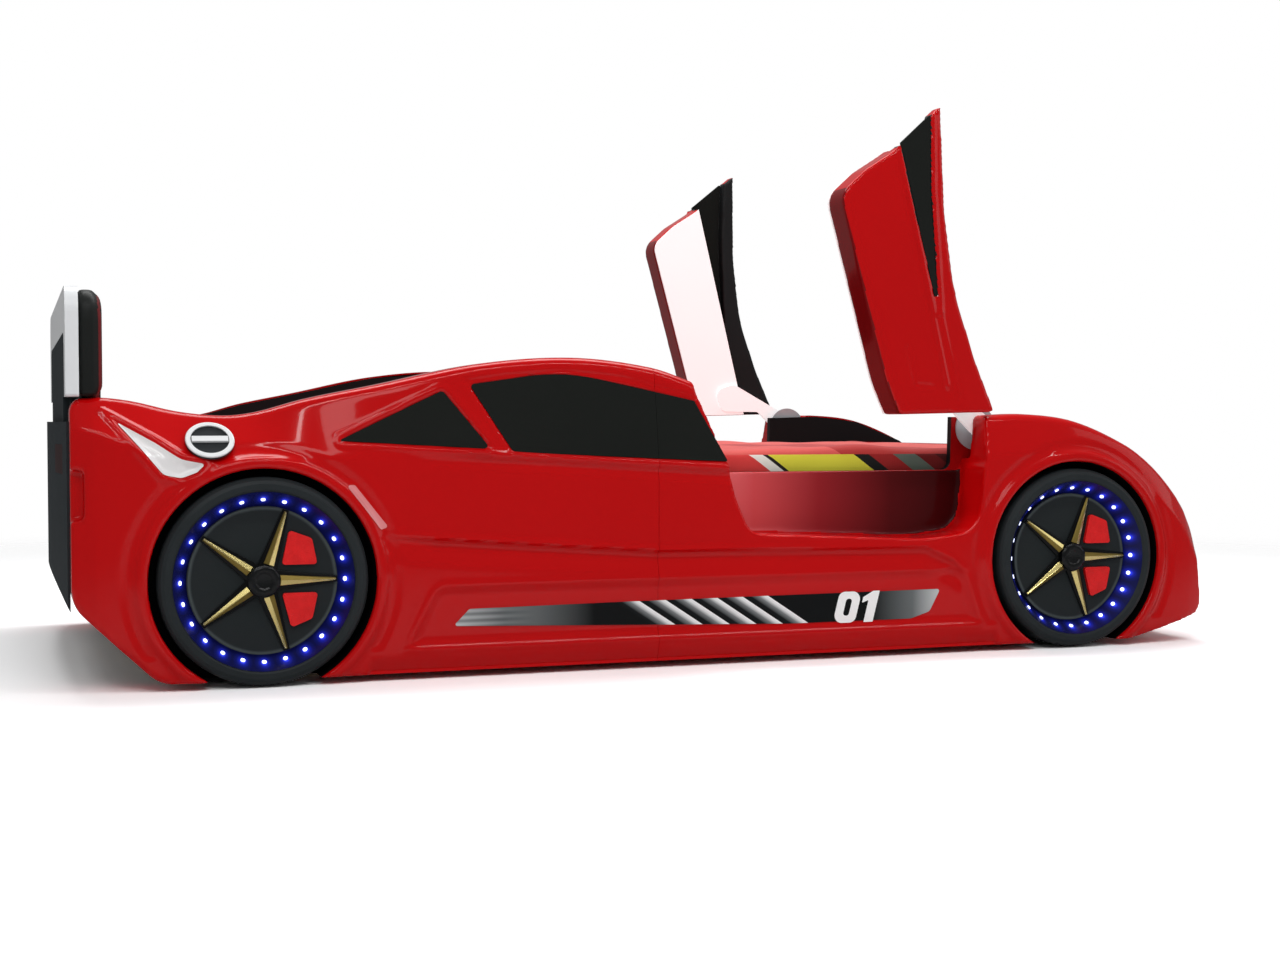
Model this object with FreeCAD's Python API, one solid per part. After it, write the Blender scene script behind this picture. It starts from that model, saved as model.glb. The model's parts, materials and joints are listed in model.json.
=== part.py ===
"""Children's car bed: a single bed between two moulded car sides with upward-swinging doors.

Millimetres. X runs from the headboard (-X) to the nose (+X), Y across the bed, +Z up.
The origin is on the floor, midway between the axles and on the bed's centre line.
The right-hand side (at -Y) is modelled; "out" is the distance outward from the centre line.
The left-hand side is its mirror image.  The doors are modelled shut and then swung open.
"""
import math
import os

import FreeCAD
import Part

V = FreeCAD.Vector

# ---------------------------------------------------------------- driving dimensions
MATTRESS_LENGTH = 1900.0
MATTRESS_WIDTH = 900.0
MATTRESS_HEIGHT = 138.0
MATTRESS_GAP = 4.0            # beside the mattress
FIT = 0.3                     # between pieces that only lie together

BOARD = 16.0                  # fibreboard thickness
WALL = 4.0                    # moulded shell wall
SHELL_DEPTH = 105.5           # side board to the flat outer face
CEILING = 720.0               # above the sides, for cuts that are open at the top
BOARD_IN = MATTRESS_WIDTH / 2 + MATTRESS_GAP
BOARD_OUT = BOARD_IN + BOARD
FACE = BOARD_OUT + SHELL_DEPTH

WHEELBASE = 1645.0
AXLE = WHEELBASE / 2
TYRE_R = 182.5
RIM_R = 157.0                 # tyre bore
DISC_R = 131.0                # wheel disc, inside the light ring
DISC_DEPTH = 33.0             # disc below the tyre face
LIGHT_DROP = 44.0             # light ring's inner edge below the tyre face
HUB_R = 26.0
HUB_RISE = 8.0                # above the disc
HUB_CAP = (12.5, 16.0)        # underside and face above the disc
HUB_CAP_R = HUB_R + 2.0
HUB_PLUG_R = 12.0
SPOKE_TIP_R = 136.0
SPOKE_ROOT = 27.0             # spoke width at the hub
SPOKE_TIP = 6.0
SPOKE_SHOULDER = (6.0, 5.0)   # above the disc, at the hub and at the tip
SPOKE_RIDGE = (12.0, 8.0)
CALIPER_THICK = 7.0
BEADS = 24                    # light beads per wheel
BEAD_R = 4.0
BEAD_SINK = 2.0
BEAD_HEIGHT = 2.8
CABLE_IN = 144.0              # light cable's entry, from the axle
TYRE_PROUD = 8.0              # tyre face beyond the shell face
FLOOR_GAP = 3.0               # dummy tyre above the floor
AXLE_Z = TYRE_R + FLOOR_GAP
ARCH_GAP = 14.5               # round the tyre
ARCH_R = TYRE_R + ARCH_GAP
ARCH_DEPTH = 62.0             # wheel well, from the shell face
FLARE_WIDTH = 22.0
FLARE_PROUD = 7.0

SIDE_REAR = -1143.0
SIDE_FRONT = 1148.0
SEAM_X = -90.0                # the side is moulded in two lengths
SEAM_GAP = 0.5
SILL_Z = 12.0                 # lower edge of the shells
FOOT_HEIGHT = 25.0            # board above the floor

RAIL_TOP = 365.0              # side board's edge in the doorway
RAIL_REAR = 62.0
RAIL_FRONT = 612.0
BOARD_RAIL_FRONT = 588.0
DOORWAY_REAR = -7.0           # doorway's rear edge in the roof
DOORWAY_REAR_Z = 523.0
WELL_LEDGE_REAR = 249.0
WELL_LEDGE_FRONT = 231.0
HINGE_X = 645.5
HINGE_Z = 452.0
HINGE_CORNER_R = 31.5         # fender corner, round the hinge pin
DOOR_SWING = 72.0             # degrees from shut to open
DOOR_GAP = 4.0
DOOR_THICK = 71.0             # moulded door shell
DOOR_INSET = 4.0              # door face below the body face
LINER = 4.0
PIN_R = 6.0
PIN_CLEARANCE = 0.06
PIN_HEAD = 3.0
ARM = 6.0                     # hinge arm plate
ARM_EYE_R = 24.0
BRACKET_R = 46.0
BRACKET = 3.0
FRAME_THICK = 30.0            # door's window frame
BELT_REAR = (45.5, 401.0)     # door's belt line, x and z
BELT_FRONT = (530.5, 363.0)
DOOR_FRONT = [(549, 240), (613, 454)]    # door's front edge, ahead of the doorway's rounded corner
DOOR_TOP = [(484, 440, 300), (356, 438, 300), (205, 465, 500), (107, 494, 500), (-14, 530, 0)]


def behind(share):
    """A place on the rear overhang: 0 at the rear axle, 1 at the rear end."""
    return -AXLE + share * (SIDE_REAR + AXLE)


def ahead(share):
    """A place on the front overhang: 0 at the front axle, 1 at the front end."""
    return AXLE + share * (SIDE_FRONT - AXLE)


# Sections of the moulded side, rear to front:
# x, shoulder height, top height, face inboard of FACE, top edge inboard of FACE
SECTIONS = [
    (behind(1), 452, 502, 22, 50),
    (behind(0.866), 445, 506, 6, 52),
    (behind(0.679), 420, 500, 1, 62),
    (behind(0.429), 397, 482, 0, 76),
    (behind(0.179), 395, 475, 0, 77),
    (behind(0), 396, 482, 0, 74),
    (-0.900 * AXLE, 399, 505, 0, 52),
    (-0.746 * AXLE, 402, 531, 2, 28),
    (-0.523 * AXLE, 403, 570, 2, 30),
    (-0.304 * AXLE, 399, 584, 2, 31),
    (-0.109 * AXLE, 394, 567, 2, 30),
    (0, 389, 538, 2, 28),
    (0.134 * AXLE, 386, 505, 2, 24),
    (0.435 * AXLE, 384, 476, 2, 20),
    (0.746 * AXLE, 392, 477, 1, 22),
    (0.873 * AXLE, 404, 480, 0, 27),
    (ahead(0.045), 392, 466, 0, 27),
    (ahead(0.422), 350, 418, 0, 27),
    (ahead(0.613), 308, 377, 2, 27),
    (ahead(0.770), 260, 328, 6, 29),
    (ahead(0.886), 213, 281, 13, 35),
    (ahead(1), 150, 214, 26, 50),
]
SILL_REAR = behind(0.554)     # where the sill starts to rise towards the ends
SILL_FRONT = ahead(0.422)
TOP_ROLL = 22.0               # radius of the rolled top edge

# Window outlines (x, z, corner radius), on the leaning glasshouse
QUARTER_WINDOW = [(-693, 430, 2), (-500, 521, 8), (-413, 414, 4)]
SIDE_WINDOW = [(-450, 532, 6), (-270, 558, 400), (-12, 504, 3), (51, 388, 3), (-372, 408, 14)]
DOOR_WINDOW = [(6, 497, 2), (42, 409, 3), (386, 385.5, 0.6), (147, 449, 400)]
WINDOW_THICK = 5.0
WINDOW_SINK = 2.0             # glass below the shell's surface
HOUSE_LEAN = 9.0              # degrees
HOUSE_FOOT_Z = 400.0          # where the lean starts

# Band pocket along the sill and the plate in it
BAND_DEPTH = 8.0
BAND = [(-566, 60, 6), (-512, 163, 24), (560, 166, 30), (596, 60, 6)]
STRIPE_THICK = 1.6
STRIPE = [(-485, 94, 3), (-455, 124, 6), (-150, 127, 60), (511, 130, 4), (487, 86, 14), (445, 73, 22),
          (180, 73, 60)]

# Outlet in the rear corner
VENT_Z = (296.0, 382.0)
VENT_LENGTH = 22.0
VENT_DEPTH = 36.0

FUEL_X = behind(0.279)
FUEL_Z = 427.0
FUEL_IN = 29.0                # inboard of the shell face
FUEL_R = 42.0
FUEL_LEAN = 46.0              # degrees from vertical
FUEL_NECK_R = 30.0
FUEL_RIM = 9.0                # raised rim's width
FUEL_HEIGHT = (3.0, 10.0)     # flange above the filler's seat
FUEL_FLOOR = 6.0              # dished middle
FUEL_BAR = 6.0                # grip bar's half width

HEADBOARD_TOP = 697.0
HEADBOARD_LIP = 70.0          # beyond the side boards
HEADBOARD_PANEL = 22.0
HEADBOARD_PAD = 40.0
HEADBOARD_BAND = 77.0         # edge frame
HEADBOARD_STEP = 507.0        # above the side mouldings
HEADBOARD_BOTTOM = 180.0
HEADBOARD_LOW_HALF = 400.0    # between the fascia's flanks
PAD_CROWN = (12.0, 14.0)      # edge drawn in, over the last of the thickness
PAD_CHANNELS = (560.0, 628.0)
PAD_CHANNEL_R = 3.0
PAD_CHANNEL_HALF = 490.0      # channels stop short of the pad's edge
FASCIA_TOP = 464.0
FASCIA_BOTTOM = 132.0
FASCIA_HALF = 505.0
FASCIA_LAND = 480.0           # hollow's half width
FASCIA_END = 4.5              # proud of the side mouldings
FASCIA_BULGE = 20.0
TAIL_LAMPS = [(-440, -290), (290, 440)]
TAIL_LAMP_Z = (372.0, 424.0)
NOSE_BACK = SIDE_FRONT - 88.0
NOSE_BOTTOM = 40.0
NOSE_BULGE = 21.5
NOSE_TOP = 232.0
HEAD_LAMPS = [(-420, -290), (290, 420)]
HEAD_LAMP_Z = (150.0, 196.0)
GRILLE_HALF = 220.0
GRILLE_Z = (66.0, 136.0)
GRILLE_ROWS = 3
GRILLE_COLUMNS = 14
GRILLE_PITCH = (26.0, 19.0)
GRILLE_HOLE = (20.0, 12.0)
BONNET = 4.0
BONNET_SINK = 8.0             # below the side mouldings' top edge

SLAT_TOP = 268.0
SLAT_THICK = 12.0
SLAT_WIDTH = 72.0
SLAT_COUNT = 13
SLAT_END_GAP = 20.0           # mattress beyond the first and last slats
CLEAT = 30.0
BEAM_WIDTH = 44.0
BEAM_HEIGHT = 56.0
LEG_R = 18.0
LEG_X = (-700.0, -130.0, 450.0)
FOOT_X = (-900.0, -400.0, 250.0, 900.0)
FOOT_LENGTH = 60.0
FOOT_WIDTH = 30.0
REAR_BOARD_Z = 142.0          # above the upswept rear corner of the sides
FRONT_BOARD_Z = 45.0
REAR_BOARD_TOP = 400.0
FRONT_BOARD_TOP = 408.0
BOLT_R = 3.2
BOLT_Z = (180.0, 340.0)
BOLT_GAP = 0.2
BOLT_DEPTH = 40.0
MATTRESS_SLACK = 1.0          # mattress narrower than its nominal size, per side
MATTRESS_CROWN = 8.0
MATTRESS_DRAW = 4.0           # drawn-in sides
CUSHION_CORNER = 16.0         # rounded top edges
COVER_THICK = 12.0            # bedspread
COVER_SKIRT = 3.0
COVER_HEM = 300.0
CABLE_R = 2.0
CABLE_BEND = 5.0
CLIP_BASE = 0.9               # cable clear of the board, in its clips
CONTROL_X = -420.0            # light control box
CONTROL_BOX = (90.0, 40.0)    # length and depth
JUNCTION_BOX = (50.0, 30.0)
INLET_R = 7.0
CLIP_X = (-600.0, -500.0, -200.0, 0.0, 200.0, 400.0, 600.0)

# ---------------------------------------------------------------- derived places
PIN_OUT = BOARD_OUT + SHELL_DEPTH - DOOR_INSET - DOOR_THICK - LINER - FIT   # outer side of the hinge arm
WELL_OUT = FACE - ARCH_DEPTH                                               # wheel well floor
TYRE_FACE = FACE + TYRE_PROUD
DISC_FACE = TYRE_FACE - DISC_DEPTH
RIM_SEAT = WELL_OUT + 12.0                                                 # wheel disc's flange
LIGHT_LIP = TYRE_FACE - 2.0
LIGHT_FOOT = TYRE_FACE - LIGHT_DROP
CABLE_END = LIGHT_FOOT + 9.0                                               # behind the sloping light ring
HEADBOARD_REAR = SIDE_REAR + BOARD - HEADBOARD_PANEL
FASCIA_REAR = SIDE_REAR - FASCIA_END
SLAT_BOTTOM = SLAT_TOP - SLAT_THICK
HEADBOARD_HALF = BOARD_OUT + HEADBOARD_LIP
REAR_BOARD_X = SIDE_REAR + BOARD                                           # rear face of the rear board
REAR_BOARD_FRONT = REAR_BOARD_X + BOARD
MATTRESS_REAR = REAR_BOARD_FRONT + 33.0
MATTRESS_FRONT = MATTRESS_REAR + MATTRESS_LENGTH
FRONT_BOARD_X = MATTRESS_FRONT + MATTRESS_GAP


# ---------------------------------------------------------------- drawing helpers
def signed_area(points):
    total = 0.0
    for i, p in enumerate(points):
        q = points[(i + 1) % len(points)]
        total += p[0] * q[1] - q[0] * p[1]
    return total / 2


def inset(points, d):
    """A closed outline of (a, b, radius) points, drawn in by d (out by -d)."""
    n = len(points)
    turn = 1.0 if signed_area(points) > 0 else -1.0
    lines = []
    for i in range(n):
        a, b = points[i], points[(i + 1) % n]
        length = math.hypot(b[0] - a[0], b[1] - a[1])
        u = ((b[0] - a[0]) / length, (b[1] - a[1]) / length)
        shift = (-u[1] * turn * d, u[0] * turn * d)
        lines.append(((a[0] + shift[0], a[1] + shift[1]), u))
    moved = []
    for i in range(n):
        (p, u), (q, w) = lines[i - 1], lines[i]
        cross = u[0] * w[1] - u[1] * w[0]
        t = ((q[0] - p[0]) * w[1] - (q[1] - p[1]) * w[0]) / cross
        convex = cross * turn > 0
        radius = points[i][2]
        radius = max(radius - d, 0.0) if convex else (radius + d if radius else 0.0)
        moved.append((p[0] + u[0] * t, p[1] + u[1] * t, radius))
    return moved


def rounded_wire(points, place):
    """A closed wire of lines with tangent arcs at its corners; place(a, b) gives the 3-D point."""
    n = len(points)
    starts, ends, mids = [], [], []
    for i in range(n):
        a, p, b = points[i - 1], points[i], points[(i + 1) % n]
        la = math.hypot(a[0] - p[0], a[1] - p[1])
        lb = math.hypot(b[0] - p[0], b[1] - p[1])
        ua = ((a[0] - p[0]) / la, (a[1] - p[1]) / la)
        ub = ((b[0] - p[0]) / lb, (b[1] - p[1]) / lb)
        half = math.acos(max(-1.0, min(1.0, ua[0] * ub[0] + ua[1] * ub[1]))) / 2
        back = p[2] / math.tan(half) if p[2] > 0 else 0.0
        back = min(back, 0.49 * la, 0.49 * lb)
        radius = back * math.tan(half)
        starts.append((p[0] + ua[0] * back, p[1] + ua[1] * back))
        ends.append((p[0] + ub[0] * back, p[1] + ub[1] * back))
        if back > 1e-6:
            bis = (ua[0] + ub[0], ua[1] + ub[1])
            size = math.hypot(*bis)
            reach = radius / math.sin(half) - radius
            mids.append((p[0] + bis[0] / size * reach, p[1] + bis[1] / size * reach))
        else:
            mids.append(None)
    edges = []
    for i in range(n):
        if mids[i]:
            edges.append(Part.Arc(place(*starts[i]), place(*mids[i]), place(*ends[i])).toShape())
        j = (i + 1) % n
        if math.hypot(ends[i][0] - starts[j][0], ends[i][1] - starts[j][1]) > 1e-6:
            edges.append(Part.makeLine(place(*ends[i]), place(*starts[j])))
    return Part.Wire(edges)


def side_prism(points, out0, out1):
    """A side-view outline (x, z, radius), from out0 to out1 outward of the centre line."""
    wire = rounded_wire(points, lambda x, z: V(x, -out0, z))
    return Part.Face(wire).extrude(V(0, out0 - out1, 0))


def side_disc(x, z, radius, out0, out1):
    return Part.makeCylinder(radius, out1 - out0, V(x, -out0, z), V(0, -1, 0))


def box(x0, x1, y0, y1, z0, z1):
    return Part.makeBox(x1 - x0, y1 - y0, z1 - z0, V(x0, y0, z0))


def mirrored(shape):
    return shape.mirror(V(0, 0, 0), V(0, 1, 0))


def save(name, *shapes):
    solids = [s for shape in shapes for s in shape.Solids]
    whole = solids[0] if len(solids) == 1 else Part.makeCompound(solids)
    whole.exportStep(os.path.join("parts", name + ".step"))
    print(f"{name}: {len(solids)} solid(s), {sum(s.Volume for s in solids) / 1000:.1f} cm3,"
          f" valid {all(s.isValid() for s in solids)}")


def save_pair(name, *shapes):
    save(name + "_right", *shapes)
    save(name + "_left", *[mirrored(s) for s in shapes])


# ---------------------------------------------------------------- moulded sides
def section_wire(x, shoulder, top, face_in, top_in, wall):
    """One cross-section of the side, drawn in by wall on its outside."""
    face = FACE - face_in - wall
    lean = math.atan2(top_in - face_in, top - shoulder)
    corner = FACE - top_in - wall / math.cos(lean) + wall * math.tan(lean)
    top -= wall
    roll = TOP_ROLL - wall
    up = (math.sin(lean), math.cos(lean))                # outward lean: out falls as z rises
    half = (math.pi / 2 + lean) / 2
    back = roll / math.tan(half)
    start = (corner + up[0] * back, top - up[1] * back)
    end = (corner - back, top)
    mid_reach = roll / math.sin(half) - roll
    bis = (up[0] - 1.0, -up[1])
    size = math.hypot(*bis)
    mid = (corner + bis[0] / size * mid_reach, top + bis[1] / size * mid_reach)
    low = -5.0
    inner = BOARD_OUT if wall == 0 else BOARD_OUT - 1.0
    pts = [(inner, low), (face, low), (face, shoulder), start]
    edges = [Part.makeLine(V(x, -a[0], a[1]), V(x, -b[0], b[1])) for a, b in zip(pts, pts[1:])]
    roll_arc = [V(x, -out, z) for out, z in (start, mid, end)]
    edges.append(Part.Arc(*roll_arc).toShape())
    edges.append(Part.makeLine(V(x, -end[0], end[1]), V(x, -inner, top)))
    edges.append(Part.makeLine(V(x, -inner, top), V(x, -inner, low)))
    return Part.Wire(edges)


def side_outline(wall):
    """Side view of the moulding below its top edge, drawn in by wall."""
    return inset([(SIDE_REAR, CEILING, 0), (SIDE_REAR, 150, 60), (SILL_REAR, SILL_Z, 60),
                  (SILL_FRONT, SILL_Z, 90), (SIDE_FRONT, 60, 26), (SIDE_FRONT, 105, 60),
                  (SIDE_FRONT - 15, 238, 30), (SIDE_FRONT - 15, CEILING, 0)], wall)


def notch_outline(grow):
    """The doorway, from its ledge up; grow widens it by the wall."""
    corner = [(HINGE_X - HINGE_CORNER_R * math.cos(a), HINGE_Z + HINGE_CORNER_R * math.sin(a), 0)
              for a in [math.radians(d) for d in (0, 14, 28, 42, 56)]]
    outline = [(DOORWAY_REAR, CEILING, 0), (DOORWAY_REAR, DOORWAY_REAR_Z, 8), (50, 388, 80), (68, 318, 80),
               (99, WELL_LEDGE_REAR, 40), (480, WELL_LEDGE_FRONT, 300), (597, 245, 60), (607, 330, 150),
               *corner, (corner[-1][0], CEILING, 0)]
    return inset(outline, -grow)


def side_block(wall):
    """The side moulding's outer form, or the hollow in it when drawn in by wall."""
    sections = [section_wire(*s, wall) for s in SECTIONS]
    block = Part.makeLoft(sections, True, False)
    block = block.common(side_prism(side_outline(wall), BOARD_OUT - 2, FACE + 2))
    if not wall:
        for x in (-AXLE, AXLE):
            block = block.fuse(arch_flare(x))
    well = WELL_OUT - wall
    for x in (-AXLE, AXLE):
        block = block.cut(side_disc(x, AXLE_Z, ARCH_R + wall, well, FACE + 50))
    block = block.cut(side_prism(inset(BAND, -wall), FACE - BAND_DEPTH - wall, FACE + 50))
    block = block.cut(side_prism(notch_outline(wall), BOARD_OUT + WALL - wall, FACE + 50))
    above_rail = [(DOORWAY_REAR - wall, CEILING, 0), (DOORWAY_REAR - wall, DOORWAY_REAR_Z, 8),
                  (RAIL_REAR - wall, RAIL_TOP - wall, 30), (RAIL_FRONT + wall, RAIL_TOP - wall, 20),
                  (HINGE_X - 5, CEILING, 0)]
    block = block.cut(side_prism(above_rail, BOARD_OUT - 3, FACE))
    low, high = VENT_Z
    vent = [(SIDE_REAR - 5, low, 0), (SIDE_REAR + VENT_LENGTH, low, 8), (SIDE_REAR + VENT_LENGTH, high, 8),
            (SIDE_REAR - 5, high, 0)]
    return block.cut(side_prism(inset(vent, -wall), FACE - VENT_DEPTH - wall, FACE + 50))


def arch_flare(x):
    """The raised lip round a wheel arch, above the sill."""
    r0, r1 = ARCH_R - 1, ARCH_R + FLARE_WIDTH
    low, high = FACE - 12, FACE + FLARE_PROUD
    profile = [(r0, low), (r0, high - 2), (r0 + 5, high), (r0 + 9, high), (r1, FACE - 0.5), (r1, low)]
    wire = Part.makePolygon([V(x + r, -o, AXLE_Z) for r, o in profile + profile[:1]])
    ring = Part.Face(wire).revolve(V(x, 0, AXLE_Z), V(0, 1, 0), 360)
    return ring.common(box(x - r1 - 1, x + r1 + 1, -FACE - 50, -BOARD_OUT, SILL_Z, 600))


def lean_out(shape, foot_out=FACE - 2):
    """Leans a flat piece with the glasshouse."""
    shape = shape.copy()
    shape.rotate(V(0, -foot_out, HOUSE_FOOT_Z), V(1, 0, 0), -HOUSE_LEAN)
    return shape


def window(outline):
    plate = lean_out(side_prism(inset(outline, -60), FACE - 2 - WINDOW_SINK - WINDOW_THICK,
                                FACE - 2 - WINDOW_SINK))
    return plate.common(side_prism(inset(outline, FIT), BOARD_OUT + 5, FACE + 50))


def fuel_turn(shape):
    """Turns a piece drawn along +Z from the origin to the fuel filler's axis."""
    shape = shape.copy()
    shape.rotate(V(0, 0, 0), V(1, 0, 0), FUEL_LEAN)
    shape.translate(V(FUEL_X, -(FACE - FUEL_IN), FUEL_Z))
    return shape


def sides():
    shell = side_block(0).cut(side_block(WALL))
    for outline in (QUARTER_WINDOW, SIDE_WINDOW):
        shell = shell.cut(side_prism(outline, BOARD_OUT + 2, FACE + 50))
    neck = fuel_turn(Part.makeCylinder(FUEL_NECK_R + FIT, 80, V(0, 0, -40)))
    shell = shell.cut(neck)
    slot = box(HINGE_X - 60, HINGE_X + BRACKET_R + 4, -(BOARD_OUT + 30), -(BOARD_OUT - 1), HINGE_Z - 62, 700)
    shell = shell.cut(slot)
    for x in (-AXLE, AXLE):
        shell = shell.cut(cable_hole(x))
    for name, x0, x1 in (("rear", -2000, SEAM_X - SEAM_GAP / 2), ("front", SEAM_X + SEAM_GAP / 2, 2000)):
        save_pair("side_shell_" + name, shell.common(box(x0, x1, -900, 0, -100, 900)))
    glass = window(SIDE_WINDOW)
    halves = [glass.common(box(x0, x1, -900, 0, 0, 900)) for x0, x1 in
              ((-2000, SEAM_X - SEAM_GAP / 2), (SEAM_X + SEAM_GAP / 2, 2000))]
    save("side_windows", *halves, *[mirrored(h) for h in halves])
    quarter = window(QUARTER_WINDOW)
    save("quarter_windows", quarter, mirrored(quarter))
    floor = FACE - BAND_DEPTH
    save_pair("stripe_plate", side_prism(STRIPE, floor, floor + STRIPE_THICK))
    save("fuel_caps", fuel_cap(), mirrored(fuel_cap()))


def fuel_cap():
    low, high = FUEL_HEIGHT
    flange = Part.makeCylinder(FUEL_R, high - low, V(0, 0, low))
    dish = Part.makeCylinder(FUEL_R - FUEL_RIM, high, V(0, 0, FUEL_FLOOR))
    neck = Part.makeCylinder(FUEL_NECK_R, FUEL_FLOOR + 20, V(0, 0, -20))
    reach = FUEL_R - FUEL_RIM - 2
    bar = box(-reach, reach, -FUEL_BAR, FUEL_BAR, FUEL_FLOOR - 1, high + 2)
    cap = flange.cut(dish).fuse(neck).fuse(bar).removeSplitter()
    rim = [e for e in cap.Edges if abs(e.BoundBox.ZMin - high) < 0.01 and e.BoundBox.XLength > 2 * FUEL_R - 1]
    return fuel_turn(cap.makeFillet(2.5, rim))


# ---------------------------------------------------------------- wheels (fixed)
def ring_solid(x, profile):
    """A closed (radius, out) outline, turned about a wheel's axis."""
    wire = Part.makePolygon([V(x + r, -o, AXLE_Z) for r, o in profile + profile[:1]])
    return Part.Face(wire).revolve(V(x, 0, AXLE_Z), V(0, 1, 0), 360)


def about_wheel(shape, x, degrees):
    """Turns a piece about a wheel's axis, anticlockwise as seen from the right-hand side."""
    shape = shape.copy()
    shape.rotate(V(x, 0, AXLE_Z), V(0, 1, 0), -degrees)
    return shape


def tyre(x):
    back, front = WELL_OUT, TYRE_FACE
    shoulder = [(TYRE_R, front - 15), (TYRE_R - 2, front - 8), (TYRE_R - 6, front - 3), (TYRE_R - 12, front)]
    return ring_solid(x, [(RIM_R, back), (TYRE_R - 7, back), (TYRE_R, back + 9), *shoulder,
                          (RIM_R + 4, front), (RIM_R, front - 3)])


def wheel_disc(x):
    disc = side_disc(x, AXLE_Z, RIM_R - FIT, WELL_OUT, RIM_SEAT)
    disc = disc.fuse(side_disc(x, AXLE_Z, DISC_R - FIT, RIM_SEAT, DISC_FACE))
    disc = disc.cut(side_disc(x, AXLE_Z, DISC_R - FIT - WALL, WELL_OUT - 1, DISC_FACE - WALL))
    return disc.cut(cable_hole(x)).removeSplitter()


def light_ring(x):
    """A sloping band, from the tyre's lip down to the disc, with a seat for each light bead."""
    outer = RIM_R - FIT
    rise = (LIGHT_LIP - LIGHT_FOOT) / (outer - DISC_R)
    thick = WALL * math.hypot(1, rise)                   # the sloping wall, measured along the axle
    behind_band = [(DISC_R, LIGHT_FOOT - thick), (outer - WALL, LIGHT_LIP - thick - WALL * rise)]
    band = ring_solid(x, [(outer, RIM_SEAT), (outer, LIGHT_LIP), (DISC_R, LIGHT_FOOT), *behind_band,
                          (outer - WALL, RIM_SEAT)])
    return band.cut(Part.makeCompound([bead(x, i, BEAD_R + FIT / 2, 30) for i in range(BEADS)]))


def bead(x, index, radius, height):
    """One light bead, standing square on the sloping band."""
    middle_r = (RIM_R + DISC_R) / 2
    middle_out = (LIGHT_LIP + LIGHT_FOOT) / 2 - BEAD_SINK
    slope = math.atan2(LIGHT_LIP - LIGHT_FOOT, RIM_R - DISC_R)
    along = V(-math.sin(slope), -math.cos(slope), 0)
    piece = Part.makeCylinder(radius, height, V(x + middle_r, -middle_out, AXLE_Z), along)
    return about_wheel(piece, x, index * 360.0 / BEADS)


def spoke_star(x):
    """Five tall ridged spokes on a hub."""
    def section(r, width, shoulder, ridge):
        pts = [(-width / 2, DISC_FACE), (width / 2, DISC_FACE), (width / 2, shoulder), (0, ridge),
               (-width / 2, shoulder)]
        return Part.makePolygon([V(x + r, -o, AXLE_Z + t) for t, o in pts + pts[:1]])

    ends = zip((HUB_R - 12, SPOKE_TIP_R), (SPOKE_ROOT, SPOKE_TIP), SPOKE_SHOULDER, SPOKE_RIDGE)
    spoke = Part.makeLoft([section(r, width, DISC_FACE + shoulder, DISC_FACE + ridge)
                           for r, width, shoulder, ridge in ends], True, True)
    star = side_disc(x, AXLE_Z, HUB_R, DISC_FACE, DISC_FACE + HUB_RISE)
    star = star.multiFuse([about_wheel(spoke, x, i * 72) for i in range(5)])
    return star.cut(side_disc(x, AXLE_Z, HUB_PLUG_R + FIT, DISC_FACE - 1, TYRE_FACE))


def hub_cap(x):
    under, face = [DISC_FACE + rise for rise in HUB_CAP]
    cap = side_disc(x, AXLE_Z, HUB_CAP_R, under, face)
    cap = cap.makeFillet(1.5, [e for e in cap.Edges if abs(e.BoundBox.YMin + face) < 0.01])
    return cap.fuse(side_disc(x, AXLE_Z, HUB_PLUG_R, DISC_FACE + HUB_RISE, under)).removeSplitter()


def calipers(x):
    upper = [(45, 88, 6), (32, 27, 5), (94, 27, 5), (85, 73, 8)]
    lower = [(48, -84, 6), (85, -69, 8), (95, -23, 5), (32, -23, 5)]
    shift = [[(x + a, AXLE_Z + b, r) for a, b, r in shape] for shape in (upper, lower)]
    return [side_prism(outline, DISC_FACE, DISC_FACE + CALIPER_THICK) for outline in shift]


def wheels():
    beads, stars, caps, brakes, rings = [], [], [], [], []
    for end, x in (("rear", -AXLE), ("front", AXLE)):
        save_pair("tyre_" + end, tyre(x))
        save_pair("wheel_disc_" + end, wheel_disc(x))
        rings.append(light_ring(x))
        stars.append(spoke_star(x))
        caps.append(hub_cap(x))
        brakes.extend(calipers(x))
        beads.extend(bead(x, i, BEAD_R, BEAD_HEIGHT) for i in range(BEADS))
    for name, pieces in (("light_rings", rings), ("spoke_stars", stars), ("hub_caps", caps),
                         ("brake_calipers", brakes), ("light_beads", beads)):
        save(name, *pieces, *[mirrored(p) for p in pieces])


# ---------------------------------------------------------------- swing-up doors
def belt_line(x):
    """Height of the door's belt, where its thick lower part ends."""
    return BELT_REAR[1] + (x - BELT_REAR[0]) * (BELT_FRONT[1] - BELT_REAR[1]) / (BELT_FRONT[0] - BELT_REAR[0])


def door_prism(draw_in, out0, out1):
    """The door's side view, drawn in from its edge."""
    (x0, z0), (x1, z1) = DOOR_FRONT
    slope = (x1 - x0) / (z1 - z0)
    low = 100.0
    behind_front = [(-80, 540, 0), (-80, low, 0), (x0 - (z0 - low) * slope, low, 0), (x1, z1, 0), *DOOR_TOP]
    prism = side_prism(inset(notch_outline(0), DOOR_GAP + draw_in), out0, out1)
    return prism.common(side_prism(inset(behind_front, draw_in), out0, out1))


def below_belt(drop, out0, out1):
    return side_prism([(-80, belt_line(-80) - drop, 0), (-80, 100, 0), (680, 100, 0),
                       (680, belt_line(680) - drop, 0)], out0, out1)


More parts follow.
